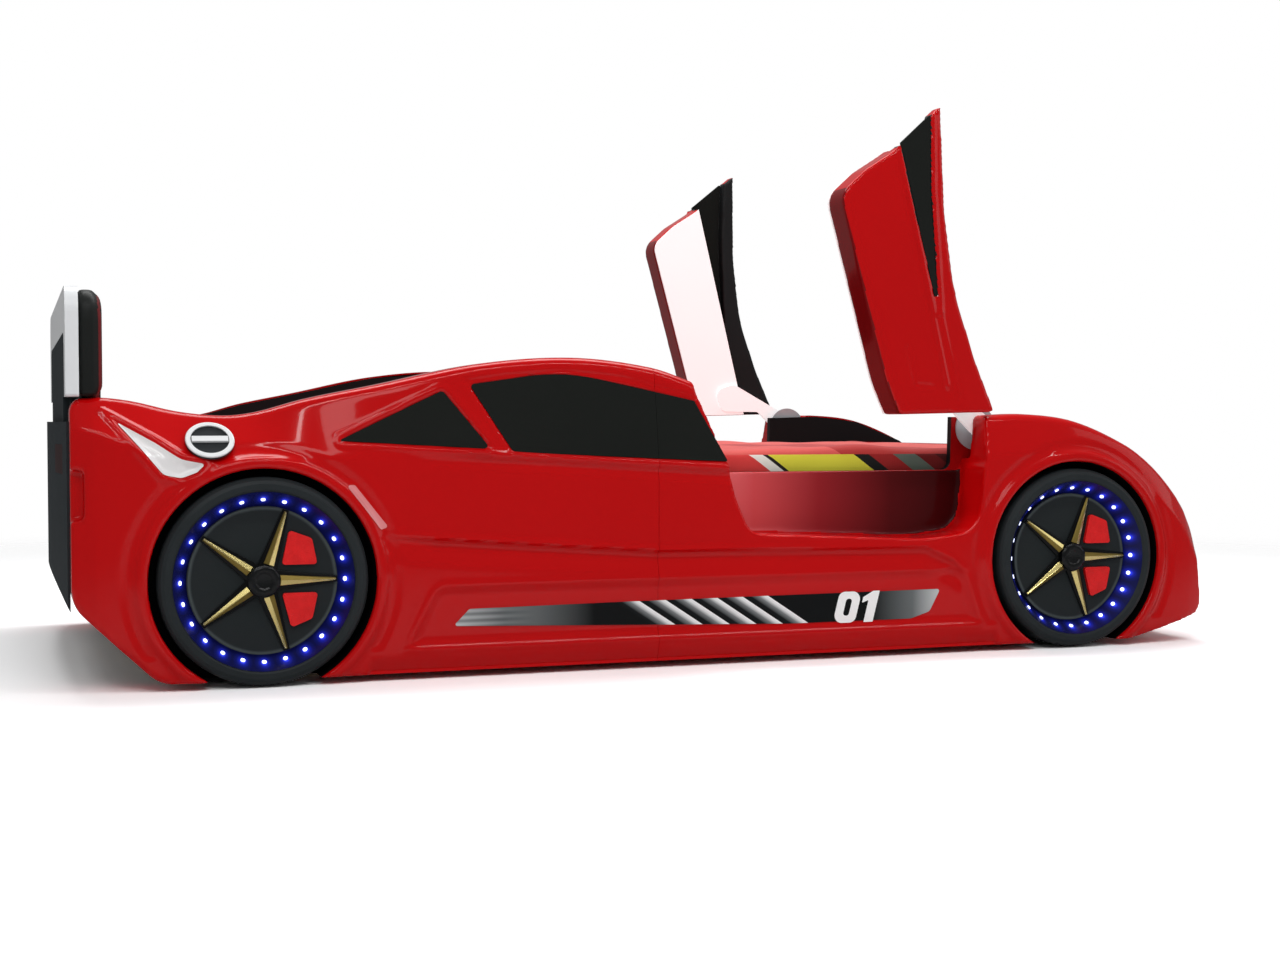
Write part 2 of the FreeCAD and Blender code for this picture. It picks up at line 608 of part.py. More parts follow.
def door_frame_band():
    """The thin leaning band above the belt, as long as the door."""
    face = FACE - DOOR_INSET
    rise = 170.0
    lean = rise * math.tan(math.radians(HOUSE_LEAN))
    thick = FRAME_THICK
    pts = [(face, 300), (face, HOUSE_FOOT_Z), (face - lean, HOUSE_FOOT_Z + rise),
           (face - lean - thick, HOUSE_FOOT_Z + rise), (face - thick, HOUSE_FOOT_Z), (face - thick, 300)]
    wire = Part.makePolygon([V(-80, -o, z) for o, z in pts + pts[:1]])
    return Part.Face(wire).extrude(V(760, 0, 0))


def door():
    """The door's pieces, shut: moulded shell, liner, window and hinge arm."""
    face = FACE - DOOR_INSET
    back = face - DOOR_THICK
    low = door_prism(0, back, face).common(below_belt(0, back - 1, face + 1))
    hollow = door_prism(WALL, back - 1, face - WALL).common(below_belt(WALL, back - 2, face))
    frame = door_prism(0, back - 40, face + 1).common(door_frame_band())
    frame = frame.cut(below_belt(3, back - 60, face + 2))
    shell = low.fuse(frame).cut(hollow)
    shell = shell.cut(side_prism(DOOR_WINDOW, back - 60, face + 20))
    liner = door_prism(1.5, back - LINER, back).common(below_belt(1.5, back - LINER - 1, back + 1))
    sunk = face - WINDOW_SINK
    glass = lean_out(side_prism(inset(DOOR_WINDOW, -60), sunk - WINDOW_THICK, sunk), face)
    glass = glass.common(side_prism(inset(DOOR_WINDOW, FIT), back - 40, face + 20))
    plate = [(640, 474, 10), (622, 468, 10), (500, 352, 24), (500, 300, 20), (556, 300, 20), (588, 395, 10),
             (652, 428, 10)]
    arm = side_disc(HINGE_X, HINGE_Z, ARM_EYE_R, PIN_OUT - ARM, PIN_OUT)
    arm = arm.fuse(side_prism(plate, PIN_OUT - ARM, PIN_OUT + FIT))
    arm = arm.cut(side_disc(HINGE_X, HINGE_Z, ARM_EYE_R + 4, PIN_OUT, PIN_OUT + 1))
    arm = arm.cut(side_disc(HINGE_X, HINGE_Z, PIN_R + PIN_CLEARANCE, PIN_OUT - 20, PIN_OUT + 20))
    return {"door_shell": shell, "door_liner": liner, "door_window": glass, "hinge_arm": arm}


def hinge_bracket():
    """A round plate on the side board, carrying the hinge pin."""
    plate = side_disc(HINGE_X, HINGE_Z, BRACKET_R, BOARD_OUT, BOARD_OUT + BRACKET)
    top = PIN_OUT - ARM - FIT / 2
    boss = side_disc(HINGE_X, HINGE_Z, PIN_R + 9, BOARD_OUT + BRACKET, top)
    pin = side_disc(HINGE_X, HINGE_Z, PIN_R, BOARD_OUT, PIN_OUT + FIT + 1)
    head = side_disc(HINGE_X, HINGE_Z, PIN_R + 4, PIN_OUT + FIT / 2, PIN_OUT + PIN_HEAD)
    return plate.multiFuse([boss, pin, head]).removeSplitter()


def doors():
    for name, piece in door().items():
        piece.rotate(V(HINGE_X, 0, HINGE_Z), V(0, 1, 0), DOOR_SWING)
        save_pair(name, piece)
    save_pair("hinge_bracket", hinge_bracket())


# ---------------------------------------------------------------- bed frame
def cable_hole(x):
    """Passage for a wheel's light cable, on the bed side of the axle."""
    towards = 1 if x < 0 else -1
    return side_disc(x + towards * CABLE_IN, AXLE_Z, CABLE_R + 4, BOARD_IN - 1, RIM_SEAT + 1)


def side_board():
    """The fibreboard side, as tall as the moulding, cut down in the doorway."""
    top = [(x, z - 3, 0) for x, _, z, _, _ in reversed(SECTIONS[1:-2])]
    front = SIDE_FRONT - 48
    outline = [(SIDE_REAR + WALL, 499, 0), (SIDE_REAR + WALL, 150, 60), (SILL_REAR, FOOT_HEIGHT, 60),
               (SILL_FRONT, FOOT_HEIGHT, 60), (front, 70, 26), (front, 290, 10), *top]
    board = side_prism(outline, BOARD_IN, BOARD_OUT)
    doorway = [(DOORWAY_REAR, CEILING, 0), (DOORWAY_REAR, DOORWAY_REAR_Z, 8), (RAIL_REAR, RAIL_TOP, 30),
               (BOARD_RAIL_FRONT, RAIL_TOP, 20), (BOARD_RAIL_FRONT + 8, CEILING, 0)]
    board = board.cut(side_prism(doorway, BOARD_IN - 1, BOARD_OUT + 1))
    for x in (-AXLE, AXLE):
        board = board.cut(cable_hole(x))
    return board.cut(Part.makeCompound(frame_bolts(BOLT_GAP)))


def frame_bolts(gap):
    """Bolts from the right-hand side board into the end boards; gap widens them for their holes."""
    bolts = []
    for x in (REAR_BOARD_X + BOARD / 2, FRONT_BOARD_X + BOARD / 2):
        for z in BOLT_Z:
            bolt = side_disc(x, z, BOLT_R + gap, BOARD_IN - BOLT_DEPTH - gap, BOARD_OUT)
            if not gap:
                bolt = bolt.fuse(side_disc(x, z, BOLT_R + 5, BOARD_OUT, BOARD_OUT + 3))
            bolts.append(bolt)
    return bolts


def bed_frame():
    board = side_board()
    save_pair("side_board", board)
    holes = Part.makeCompound(frame_bolts(BOLT_GAP) + [mirrored(b) for b in frame_bolts(BOLT_GAP)])
    rear = box(REAR_BOARD_X, REAR_BOARD_FRONT, -BOARD_IN, BOARD_IN, REAR_BOARD_Z, REAR_BOARD_TOP)
    front = box(FRONT_BOARD_X, FRONT_BOARD_X + BOARD, -BOARD_IN, BOARD_IN, FRONT_BOARD_Z, FRONT_BOARD_TOP)
    save("rear_board", rear.cut(holes))
    save("front_board", front.cut(holes))
    bolts = frame_bolts(0)
    save("frame_bolts", *bolts, *[mirrored(b) for b in bolts])
    cleat = box(REAR_BOARD_FRONT, FRONT_BOARD_X, -BOARD_IN, -BOARD_IN + CLEAT,
                SLAT_BOTTOM - CLEAT, SLAT_BOTTOM)
    save("slat_cleats", cleat, mirrored(cleat))
    first, last = MATTRESS_REAR + SLAT_END_GAP, MATTRESS_FRONT - SLAT_END_GAP - SLAT_WIDTH
    pitch = (last - first) / (SLAT_COUNT - 1)
    save("slats", *[box(first + i * pitch, first + i * pitch + SLAT_WIDTH, -BOARD_IN + FIT, BOARD_IN - FIT,
                        SLAT_BOTTOM, SLAT_TOP) for i in range(SLAT_COUNT)])
    beam_z = SLAT_BOTTOM - BEAM_HEIGHT
    save("centre_beam", box(REAR_BOARD_FRONT, FRONT_BOARD_X, -BEAM_WIDTH / 2, BEAM_WIDTH / 2,
                            beam_z, SLAT_BOTTOM))
    save("centre_legs", *[Part.makeCylinder(LEG_R, beam_z, V(x, 0, 0)) for x in LEG_X])
    foot = [box(x - FOOT_LENGTH / 2, x + FOOT_LENGTH / 2, -BOARD_OUT, -BOARD_OUT + FOOT_WIDTH,
                0, FOOT_HEIGHT) for x in FOOT_X]
    save("feet", *foot, *[mirrored(f) for f in foot])


# ---------------------------------------------------------------- headboard and ends
def end_wire(points, x):
    """A closed outline of (y, z, radius) across the bed, at x."""
    return rounded_wire(points, lambda y, z: V(x, y, z))


def across(points, x0, x1):
    return Part.Face(end_wire(points, x0)).extrude(V(x1 - x0, 0, 0))


def headboard_outline(half, low_half, top, bottom):
    """Wide above the side mouldings, narrow between the side boards."""
    step = HEADBOARD_STEP
    return [(-half, top, 46), (half, top, 46), (half, step, 6), (low_half, step, 0), (low_half, bottom, 0),
            (-low_half, bottom, 0), (-low_half, step, 0), (-half, step, 6)]


def headboard():
    rear, front = HEADBOARD_REAR, HEADBOARD_REAR + HEADBOARD_PANEL
    low_half = HEADBOARD_LOW_HALF
    whole = across(headboard_outline(HEADBOARD_HALF, low_half, HEADBOARD_TOP, HEADBOARD_BOTTOM), rear, front)
    inner_half = HEADBOARD_HALF - HEADBOARD_BAND
    inner_top = HEADBOARD_TOP - HEADBOARD_BAND
    middle = [(-inner_half, inner_top, 30), (inner_half, inner_top, 30), (inner_half, 0, 0),
              (-inner_half, 0, 0)]
    save("headboard_frame", whole.cut(across(middle, rear - 1, front + 1)))
    save("headboard_panel", whole.common(across(inset(middle, FIT), rear - 1, front + 1)))
    half, low, top = HEADBOARD_HALF - 6, BOARD_IN - 4, HEADBOARD_TOP - 5
    bottom = REAR_BOARD_TOP + 4
    outline = headboard_outline(half, low, top, bottom)
    draw = PAD_CROWN[0]
    tops = headboard_outline(half - draw, low - draw, top - draw, bottom + draw)
    tops = [(y, z + (draw if abs(z - HEADBOARD_STEP) < 1 else 0), r) for y, z, r in tops]
    crown_x = front + HEADBOARD_PAD - PAD_CROWN[1]
    pad = across(outline, front, crown_x)
    crown = Part.makeLoft([end_wire(outline, crown_x), end_wire(tops, front + HEADBOARD_PAD)], True, True)
    channels = [Part.makeCylinder(PAD_CHANNEL_R, 2 * PAD_CHANNEL_HALF,
                                  V(front + HEADBOARD_PAD + 1, -PAD_CHANNEL_HALF, z), V(0, 1, 0))
                for z in PAD_CHANNELS]
    save("headboard_pad", pad.fuse(crown).removeSplitter().cut(Part.makeCompound(channels)))


def bowed(half, end_x, bulge, z0, z1, draw_in, back_x):
    """A block across the bed whose outer face bows out; drawn in for the hollow in it."""
    way = 1 if end_x > 0 else -1
    face = end_x - way * draw_in
    h = half - draw_in
    edges = [Part.Arc(V(face, -h, z0), V(face + way * bulge, 0, z0), V(face, h, z0)).toShape(),
             Part.makeLine(V(face, h, z0), V(back_x, h, z0)),
             Part.makeLine(V(back_x, h, z0), V(back_x, -h, z0)),
             Part.makeLine(V(back_x, -h, z0), V(face, -h, z0))]
    return Part.Face(Part.Wire(edges)).extrude(V(0, 0, z1 - z0))


def profile_across(points, half):
    """A side-view outline, extruded across the bed."""
    return side_prism(points, -half, half)


def rear_fascia():
    def form(draw_in, back):
        block = bowed(FASCIA_HALF, FASCIA_REAR, FASCIA_BULGE, FASCIA_BOTTOM + draw_in, FASCIA_TOP - draw_in,
                      draw_in, back)
        far = FASCIA_REAR - FASCIA_BULGE
        side = [(far - 6, FASCIA_TOP + 10, 0), (far - 6, 192, 60), (far + 36, FASCIA_BOTTOM - 18, 0),
                (back + 40, FASCIA_BOTTOM - 18, 0), (back + 40, FASCIA_TOP + 10, 0)]
        return block.common(profile_across(inset(side, draw_in), 700))

    back = SIDE_REAR
    fascia = form(0, back)
    lamps = [fascia.common(lamp_block(y0, y1, back, FIT)) for y0, y1 in TAIL_LAMPS]
    hollow = form(WALL, back + 1).common(box(-1400, back + 2, -FASCIA_LAND, FASCIA_LAND, 0, 600))
    fascia = fascia.cut(hollow)
    for y0, y1 in TAIL_LAMPS:
        fascia = fascia.cut(lamp_block(y0, y1, back + 5, 0))
    passage = box(HEADBOARD_REAR - FIT, back + 2, -HEADBOARD_LOW_HALF - FIT, HEADBOARD_LOW_HALF + FIT,
                  HEADBOARD_BOTTOM - FIT, HEADBOARD_TOP)
    fascia = fascia.cut(passage)
    save("rear_fascia", fascia)
    save("tail_lamps", *[lamp.cut(hollow) for lamp in lamps])


def lamp_block(y0, y1, back, gap):
    """The passage of a tail lamp through the rear moulding."""
    return box(back - 80, back, y0 + gap, y1 - gap, TAIL_LAMP_Z[0] + gap, TAIL_LAMP_Z[1] - gap)


def nose():
    """Moulded bumper between the sides, with head lamps, a grille and the bonnet behind it."""
    half = BOARD_IN - FIT
    back = NOSE_BACK
    ahead_of_all = back + 200

    def form(draw_in, back_x):
        block = bowed(half, SIDE_FRONT - 2, NOSE_BULGE, NOSE_BOTTOM + draw_in, NOSE_TOP - draw_in,
                      draw_in, back_x)
        far = SIDE_FRONT - 2 + NOSE_BULGE
        side = [(back_x - 5, 20, 0), (far - 60, NOSE_BOTTOM - 10, 10), (far, 66, 26), (far + 2, 105, 60),
                (far - 26, 238, 30), (far - 40, 400, 0), (back_x - 5, 400, 0)]
        return block.common(profile_across(inset(side, draw_in), 700))

    whole = form(0, back)
    lens_hollow = form(2 * WALL, back - 5)

    def lamp_zone(gap):
        low, high = HEAD_LAMP_Z
        return [box(back + 20, ahead_of_all, y0 + gap, y1 - gap, low + gap, high - gap)
                for y0, y1 in HEAD_LAMPS]

    lamps = [whole.common(zone).cut(lens_hollow) for zone in lamp_zone(FIT)]
    low, high = GRILLE_Z
    mouth = [(-GRILLE_HALF, low, 14), (GRILLE_HALF, low, 14), (GRILLE_HALF - 30, high, 14),
             (30 - GRILLE_HALF, high, 14)]
    wall = whole.cut(form(WALL, back - 5))
    bumper = wall.cut(Part.makeCompound(lamp_zone(0))).cut(across(mouth, back + 20, ahead_of_all))
    plate = wall.common(across(inset(mouth, FIT), back, ahead_of_all))
    holes = []
    for row in range(GRILLE_ROWS):
        for column in range(GRILLE_COLUMNS):
            y = (column - (GRILLE_COLUMNS - 1) / 2) * GRILLE_PITCH[0]
            z = (low + high) / 2 + (row - (GRILLE_ROWS - 1) / 2) * GRILLE_PITCH[1]
            holes.append(box(back, ahead_of_all, y - GRILLE_HOLE[0] / 2, y + GRILLE_HOLE[0] / 2,
                             z - GRILLE_HOLE[1] / 2, z + GRILLE_HOLE[1] / 2))
    save("nose", bumper)
    save("head_lamps", *lamps)
    save("grille", plate.cut(Part.makeCompound(holes)))
    rest = FRONT_BOARD_TOP + BONNET
    line = [(FRONT_BOARD_X, rest, 0), (FRONT_BOARD_X + BOARD + 6, rest, 0)]
    line += [(x, top - BONNET_SINK, 120) for x, _, top, _, _ in SECTIONS[-5:-1]]
    line.append((SIDE_FRONT - 14, NOSE_TOP + BONNET, 0))
    under = [(x - 3, z - BONNET, r) for x, z, r in reversed(line[1:])]
    save("bonnet", profile_across([*line, *under, (FRONT_BOARD_X, rest - BONNET, 0)], half))


# ---------------------------------------------------------------- bedding
def bed_section(x, half, low, high, crown, draw):
    """A cushion's cross-section: crowned top, rounded corners and drawn-in sides."""
    corner = CUSHION_CORNER
    turn = corner * (1 - math.sqrt(0.5))                 # the rounded corner's middle, from its sharp one
    middle = (low + high - corner) / 2
    arcs = [[(half, low), (half - draw, middle), (half, high - corner)],
            [(half, high - corner), (half - turn, high - turn), (half - corner, high)],
            [(half - corner, high), (0, high + crown), (corner - half, high)],
            [(corner - half, high), (turn - half, high - turn), (-half, high - corner)],
            [(-half, high - corner), (draw - half, middle), (-half, low)]]
    edges = [Part.Arc(*[V(x, y, z) for y, z in arc]).toShape() for arc in arcs]
    return Part.Wire([Part.makeLine(V(x, -half, low), V(x, half, low)), *edges])


def cushion(grow, rise, low, draw):
    """The mattress form, grown all round by grow and raised by rise."""
    half = MATTRESS_WIDTH / 2 - MATTRESS_SLACK + grow
    high = SLAT_TOP + MATTRESS_HEIGHT - MATTRESS_CROWN + rise
    stations = [(MATTRESS_REAR - grow, -10, 1), (MATTRESS_REAR + 14, -1, 4),
                (MATTRESS_REAR + 320, 0, MATTRESS_CROWN), (MATTRESS_FRONT - 320, 0, MATTRESS_CROWN),
                (MATTRESS_FRONT - 14, -1, 4), (MATTRESS_FRONT + grow, -10, 1)]
    sections = [bed_section(x, half, low, high + dz, crown, draw) for x, dz, crown in stations]
    return Part.makeLoft(sections, True, True)


def bedding():
    save("mattress", cushion(0, 0, SLAT_TOP, MATTRESS_DRAW))
    cover = cushion(COVER_SKIRT + FIT, COVER_THICK, COVER_HEM, 0.0001)
    save("bedspread", cover.cut(cushion(FIT, FIT, SLAT_TOP, 0.0001)))


# ---------------------------------------------------------------- wheel lights' supply
def cable(points, bend):
    """An unbroken cable along straight runs with quarter-turn bends."""
    edges = []
    at = V(*points[0])
    for i in range(1, len(points) - 1):
        corner = V(*points[i])
        before = (corner - V(*points[i - 1])).normalize()
        after = (V(*points[i + 1]) - corner).normalize()
        start, end = corner - before * bend, corner + after * bend
        centre = corner - before * bend + after * bend
        mid = centre + (corner - centre).normalize() * bend
        edges.append(Part.makeLine(at, start))
        edges.append(Part.Arc(start, mid, end).toShape())
        at = end
    edges.append(Part.makeLine(at, V(*points[-1])))
    path = Part.Wire(edges)
    first = (V(*points[1]) - V(*points[0])).normalize()
    ring = Part.Wire([Part.makeCircle(CABLE_R, V(*points[0]), first)])
    return path.makePipeShell([ring], True, False)


def lights():
    """A control box and a junction box on the side boards, with clipped cables to the wheels."""
    y = -(BOARD_IN - CLIP_BASE - CABLE_R)
    length, depth = CONTROL_BOX
    low = AXLE_Z - 34
    control = box(CONTROL_X, CONTROL_X + length, -BOARD_IN, -BOARD_IN + depth, low, AXLE_Z + 28)
    cross_x = CONTROL_X + length / 2
    length, depth = JUNCTION_BOX
    join_x0, join_x1 = cross_x - length / 2, cross_x + length / 2
    junction = box(join_x0, join_x1, BOARD_IN - depth, BOARD_IN, AXLE_Z - 20, AXLE_Z + 26)
    save("light_control_boxes", control, junction)
    cables = []
    for side_y, out_y, x0, x1 in ((y, -CABLE_END, CONTROL_X, CONTROL_X + CONTROL_BOX[0]),
                                  (-y, CABLE_END, join_x0, join_x1)):
        for start, end in ((x0, -AXLE + CABLE_IN), (x1, AXLE - CABLE_IN)):
            run = [(start, side_y, AXLE_Z), (end, side_y, AXLE_Z), (end, out_y, AXLE_Z)]
            cables.append(cable(run, CABLE_BEND))
    cross_z = SLAT_BOTTOM - BEAM_HEIGHT - CABLE_R - FIT
    across_bed = [(cross_x, -BOARD_IN + CONTROL_BOX[1], cross_z), (cross_x, BOARD_IN - depth, cross_z)]
    cables.append(cable(across_bed, CABLE_BEND))
    save("light_harness", *cables)
    clips = []
    for x in CLIP_X:
        clip = box(x - 4, x + 4, -BOARD_IN, -BOARD_IN + 9, AXLE_Z - 5, AXLE_Z + 5)
        clip = clip.cut(Part.makeCylinder(CABLE_R + FIT / 2, 12, V(x - 6, y, AXLE_Z), V(1, 0, 0)))
        clips.extend([clip, mirrored(clip)])
    save("cable_clips", *clips)
    inlet_y = -BOARD_IN + CONTROL_BOX[1] / 2
    inlet = Part.makeCylinder(INLET_R, 14, V(cross_x, inlet_y, low), V(0, 0, -1))
    socket = Part.makeCylinder(INLET_R - 3, 11, V(cross_x, inlet_y, low - 3), V(0, 0, -1))
    save("power_inlet", inlet.cut(socket))


os.makedirs("parts", exist_ok=True)
sides()
wheels()
doors()
bed_frame()
headboard()
rear_fascia()
nose()
bedding()
lights()
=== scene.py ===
"""Looks of a children's car bed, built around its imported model. Lengths in the tables are millimetres."""
import json
import math

import bpy
import numpy as np
from mathutils import Matrix, Vector


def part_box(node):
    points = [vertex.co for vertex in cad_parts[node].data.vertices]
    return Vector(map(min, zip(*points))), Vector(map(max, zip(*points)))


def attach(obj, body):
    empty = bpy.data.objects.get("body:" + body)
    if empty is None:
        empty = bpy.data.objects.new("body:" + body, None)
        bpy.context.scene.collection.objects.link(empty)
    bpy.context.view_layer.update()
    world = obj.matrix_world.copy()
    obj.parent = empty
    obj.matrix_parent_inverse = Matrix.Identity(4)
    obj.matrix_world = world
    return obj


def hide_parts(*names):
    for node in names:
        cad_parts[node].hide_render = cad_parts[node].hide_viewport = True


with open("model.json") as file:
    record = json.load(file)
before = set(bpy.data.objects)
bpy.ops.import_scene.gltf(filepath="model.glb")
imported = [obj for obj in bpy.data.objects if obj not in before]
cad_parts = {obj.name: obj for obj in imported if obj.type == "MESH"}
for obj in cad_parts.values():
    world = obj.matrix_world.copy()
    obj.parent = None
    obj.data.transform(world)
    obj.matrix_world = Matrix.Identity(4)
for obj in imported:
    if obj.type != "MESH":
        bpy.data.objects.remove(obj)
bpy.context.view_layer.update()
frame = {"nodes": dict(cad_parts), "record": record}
nodes = frame["nodes"]
MM = 0.001

# ---------------------------------------------------------------- places shared with the solid model
BOARD_OUT = 470.0             # outer face of the side board
FACE = 575.5                  # outer face of the side mouldings
AXLE = 822.5                  # wheel axles lie this far before and behind the middle
AXLE_Z = 185.5
ARCH_R = 197.0                # wheel arch
WELL_OUT = 513.5              # wheel well floor
DISC_FACE = 550.5             # wheel disc
TYRE_BORE = 157.0
DISC_R = 131.0
BEADS = 24                    # light beads round a wheel
SIDE_REAR = -1143.0
SIDE_FRONT = 1148.0
SEAM_X = -90.0                # where the rear and front lengths meet
HINGE = (645.5, 452.0)        # the doors' axis: x, z
DOOR_SWING = 72.0             # degrees
HOUSE_LEAN = 9.0              # degrees, of the glasshouse above its foot
HOUSE_FOOT_Z = 400.0
WALL = 3.6
SEAM_GAP = 0.7                # wide enough to show as a line

# x, shoulder height, top height, face inboard of FACE, top edge inboard of FACE
SECTIONS = [
    (SIDE_REAR, 452, 502, 22, 50), (-1100, 445, 506, 6, 52), (-1040, 420, 500, 1, 62), (-960, 397, 482, 0, 76),
    (-880, 395, 475, 0, 77), (-822, 396, 482, 0, 74), (-740, 399, 505, 0, 52), (-614, 402, 531, 2, 28),
    (-430, 403, 570, 2, 30), (-250, 399, 584, 2, 31), (-90, 394, 567, 2, 30), (0, 389, 538, 2, 28),
    (110, 386, 505, 2, 24), (358, 384, 476, 2, 20), (614, 392, 477, 1, 22), (718, 404, 480, 0, 27),
    (837, 392, 466, 0, 27), (960, 350, 418, 0, 27), (1022, 308, 377, 2, 27), (1073, 260, 328, 6, 29),
    (1111, 213, 281, 13, 35), (SIDE_FRONT, 150, 214, 26, 50),
]
ROLL = 22.0                   # radius of the rolled top edge

# Outlines in side view: x, z, corner radius
SIDE_VIEW = [(-1060, 720, 0), (-1098, 508, 0), (SIDE_REAR, 504, 44), (SIDE_REAR, 150, 60), (-1000, 12, 60),
             (960, 12, 90), (SIDE_FRONT, 60, 26), (SIDE_FRONT, 105, 60), (SIDE_FRONT - 15, 238, 30),
             (SIDE_FRONT - 15, 720, 0)]
FENDER_CORNER = [(HINGE[0] - 31.5 * math.cos(math.radians(a)), HINGE[1] + 31.5 * math.sin(math.radians(a)), 0)
                 for a in (0, 14, 28, 42, 56)]
DOORWAY = [(-7, 720, 0), (-7, 523, 8), (50, 388, 80), (68, 318, 80), (99, 249, 40), (480, 231, 300),
           (597, 245, 60), (607, 330, 150), *FENDER_CORNER, (FENDER_CORNER[-1][0], 720, 0)]
OVER_RAIL = [(-7, 720, 0), (-7, 523, 8), (62, 365, 30), (612, 365, 20), (640.5, 720, 0)]
QUARTER_WINDOW = [(-693, 430, 2), (-500, 521, 8), (-413, 414, 4)]
SIDE_WINDOW = [(-450, 532, 6), (-270, 558, 400), (-12, 504, 3), (51, 388, 3), (-372, 408, 14)]
DOOR_WINDOW = [(6, 497, 2), (42, 409, 3), (386, 385.5, 0.6), (147, 449, 400)]
SILL_BAND = [(-566, 60, 6), (-512, 163, 24), (560, 166, 30), (596, 60, 6)]
VENT = [(SIDE_REAR - 8, 296, 0), (SIDE_REAR + 22, 296, 8), (SIDE_REAR + 22, 382, 8), (SIDE_REAR - 8, 382, 0)]
SCOOP = [(-1068, 464, 1), (-1005, 428, 50), (-962, 399, 40), (-922, 391, 3), (-936, 377, 6), (-962, 367, 20),
         (-992, 373, 20), (-1026, 415, 60)]
ARCH_SLASH = [(-680, 352, 6), (-664, 352, 6), (-604, 276, 4), (-618, 272, 4)]
DOOR_TOP = [(484, 440, 300), (356, 438, 300), (205, 465, 500), (107, 494, 500), (-14, 530, 0)]
DOOR_FRONT = [(507.1, 100, 0), (613, 454, 0)]
BRACKET_SLOT = [(HINGE[0] + reach, z, 0) for reach, z in ((-60, 390), (50, 390), (50, 700), (-60, 700))]
HOLLOW = (50, 620, 236, 380)            # the doorway's hollow: rear, front, foot, top
BELT = ((45.5, 401), (530.5, 363))      # two places on the door's belt line: x, z
DOOR_GAP = 4
FUEL_SEAT = (546.5, 427.0)              # fuel filler's seat: outward, z
FUEL_LEAN = 46.0                        # degrees


# ---------------------------------------------------------------- modelling helpers
def only(*objs):
    """Selects these objects alone; the last is the active one."""
    if bpy.context.object and bpy.context.object.mode != "OBJECT":
        bpy.ops.object.mode_set(mode="OBJECT")
    bpy.ops.object.select_all(action="DESELECT")
    for obj in objs:
        obj.select_set(True)
    bpy.context.view_layer.objects.active = objs[-1]


def named(name):
    """The object just added, named."""
    obj = bpy.context.active_object
    obj.name = obj.data.name = name
    return obj


def edit(obj, *steps, faces=None):
    """Runs edit-mode steps on all of obj, or on its marked faces."""
    only(obj)
    bpy.context.tool_settings.mesh_select_mode = (faces is None, False, faces is not None)
    bpy.ops.object.mode_set(mode="EDIT")
    bpy.ops.mesh.select_all(action="SELECT" if faces is None else "DESELECT")
    if faces is not None:
        bpy.ops.object.mode_set(mode="OBJECT")
        obj.data.polygons.foreach_set("select", faces)
        bpy.ops.object.mode_set(mode="EDIT")
    for step in steps:
        step()
    bpy.ops.object.mode_set(mode="OBJECT")


def outward():
    """Turns all faces' normals outward."""
    bpy.ops.mesh.select_all(action="SELECT")
    bpy.ops.mesh.normals_make_consistent(inside=False)


def modify(obj, kind, **settings):
    """Adds a modifier with these settings and applies it."""
    only(obj)
    modifier = obj.modifiers.new(kind, kind)
    for key, value in settings.items():
        setattr(modifier, key, value)
    bpy.ops.object.modifier_apply(modifier=modifier.name)


def combine(obj, other, operation):
    """Joins, cuts or crosses obj with other, which is used up."""
    modify(obj, "BOOLEAN", operation=operation, object=other, solver="EXACT")
    bpy.data.objects.remove(other)


def smoothed(obj, passes):
    modify(obj, "SMOOTH", factor=0.5, iterations=passes)


def remeshed(obj, size):
    """Makes the mesh anew with an even grain, in metres."""
    modify(obj, "REMESH", mode="VOXEL", voxel_size=size, use_smooth_shade=True)


def corner_points(points):
    """A closed outline with its corners rounded, as plain points."""
    made = []
    n = len(points)
    for i in range(n):
        p = np.array(points[i][:2], float)
        a = np.array(points[i - 1][:2], float) - p
        b = np.array(points[(i + 1) % n][:2], float) - p
        la, lb = np.linalg.norm(a), np.linalg.norm(b)
        a, b = a / la, b / lb
        half = math.acos(np.clip(a @ b, -1, 1)) / 2
        back = min(points[i][2] / math.tan(half), 0.49 * la, 0.49 * lb)
        if back < 0.5:
            made.append(p)
            continue
        radius = back * math.tan(half)
        middle = p + (a + b) / np.linalg.norm(a + b) * radius / math.sin(half)
        start, turn = p + a * back - middle, math.pi - 2 * half
        sign = 1 if a[0] * b[1] - a[1] * b[0] < 0 else -1
        steps = max(2, int(turn / math.radians(9)))
        for k in range(steps + 1):
            t = sign * turn * k / steps
            made.append(middle + (start[0] * math.cos(t) - start[1] * math.sin(t),
                                  start[0] * math.sin(t) + start[1] * math.cos(t)))
    return made


def prism(name, outline, out0, out1):
    """A side-view outline, thick from out0 to out1 outward of the centre line."""
    ring = corner_points(outline)
    bpy.ops.mesh.primitive_circle_add(vertices=len(ring), fill_type="NGON")
    obj = named(name)
    for vertex, (x, z) in zip(obj.data.vertices, ring):
        vertex.co = (x * MM, -out0 * MM, z * MM)
    thick = {"value": (0, (out0 - out1) * MM, 0)}
    edit(obj, lambda: bpy.ops.mesh.extrude_region_move(TRANSFORM_OT_translate=thick), outward)
    return obj


def disc(name, x, z, radius, out0, out1, sides=120):
    """A round plug across the side, from out0 to out1."""
    bpy.ops.mesh.primitive_cylinder_add(vertices=sides, radius=radius * MM, depth=(out1 - out0) * MM,
                                        location=(x * MM, -(out0 + out1) / 2 * MM, z * MM),
                                        rotation=(math.pi / 2, 0, 0))
    obj = named(name)
    settle(obj)
    return obj


def settle(obj):
    """Puts the object's place, turn and size into its mesh."""
    only(obj)
    bpy.ops.object.transform_apply(location=True, rotation=True, scale=True)


def turned(obj, foot, degrees, axis):
    """Turns the mesh about an axis through foot, a place in millimetres."""
    foot = Matrix.Translation(Vector(foot) * MM)
    obj.data.transform(foot @ Matrix.Rotation(math.radians(degrees), 4, axis) @ foot.inverted())


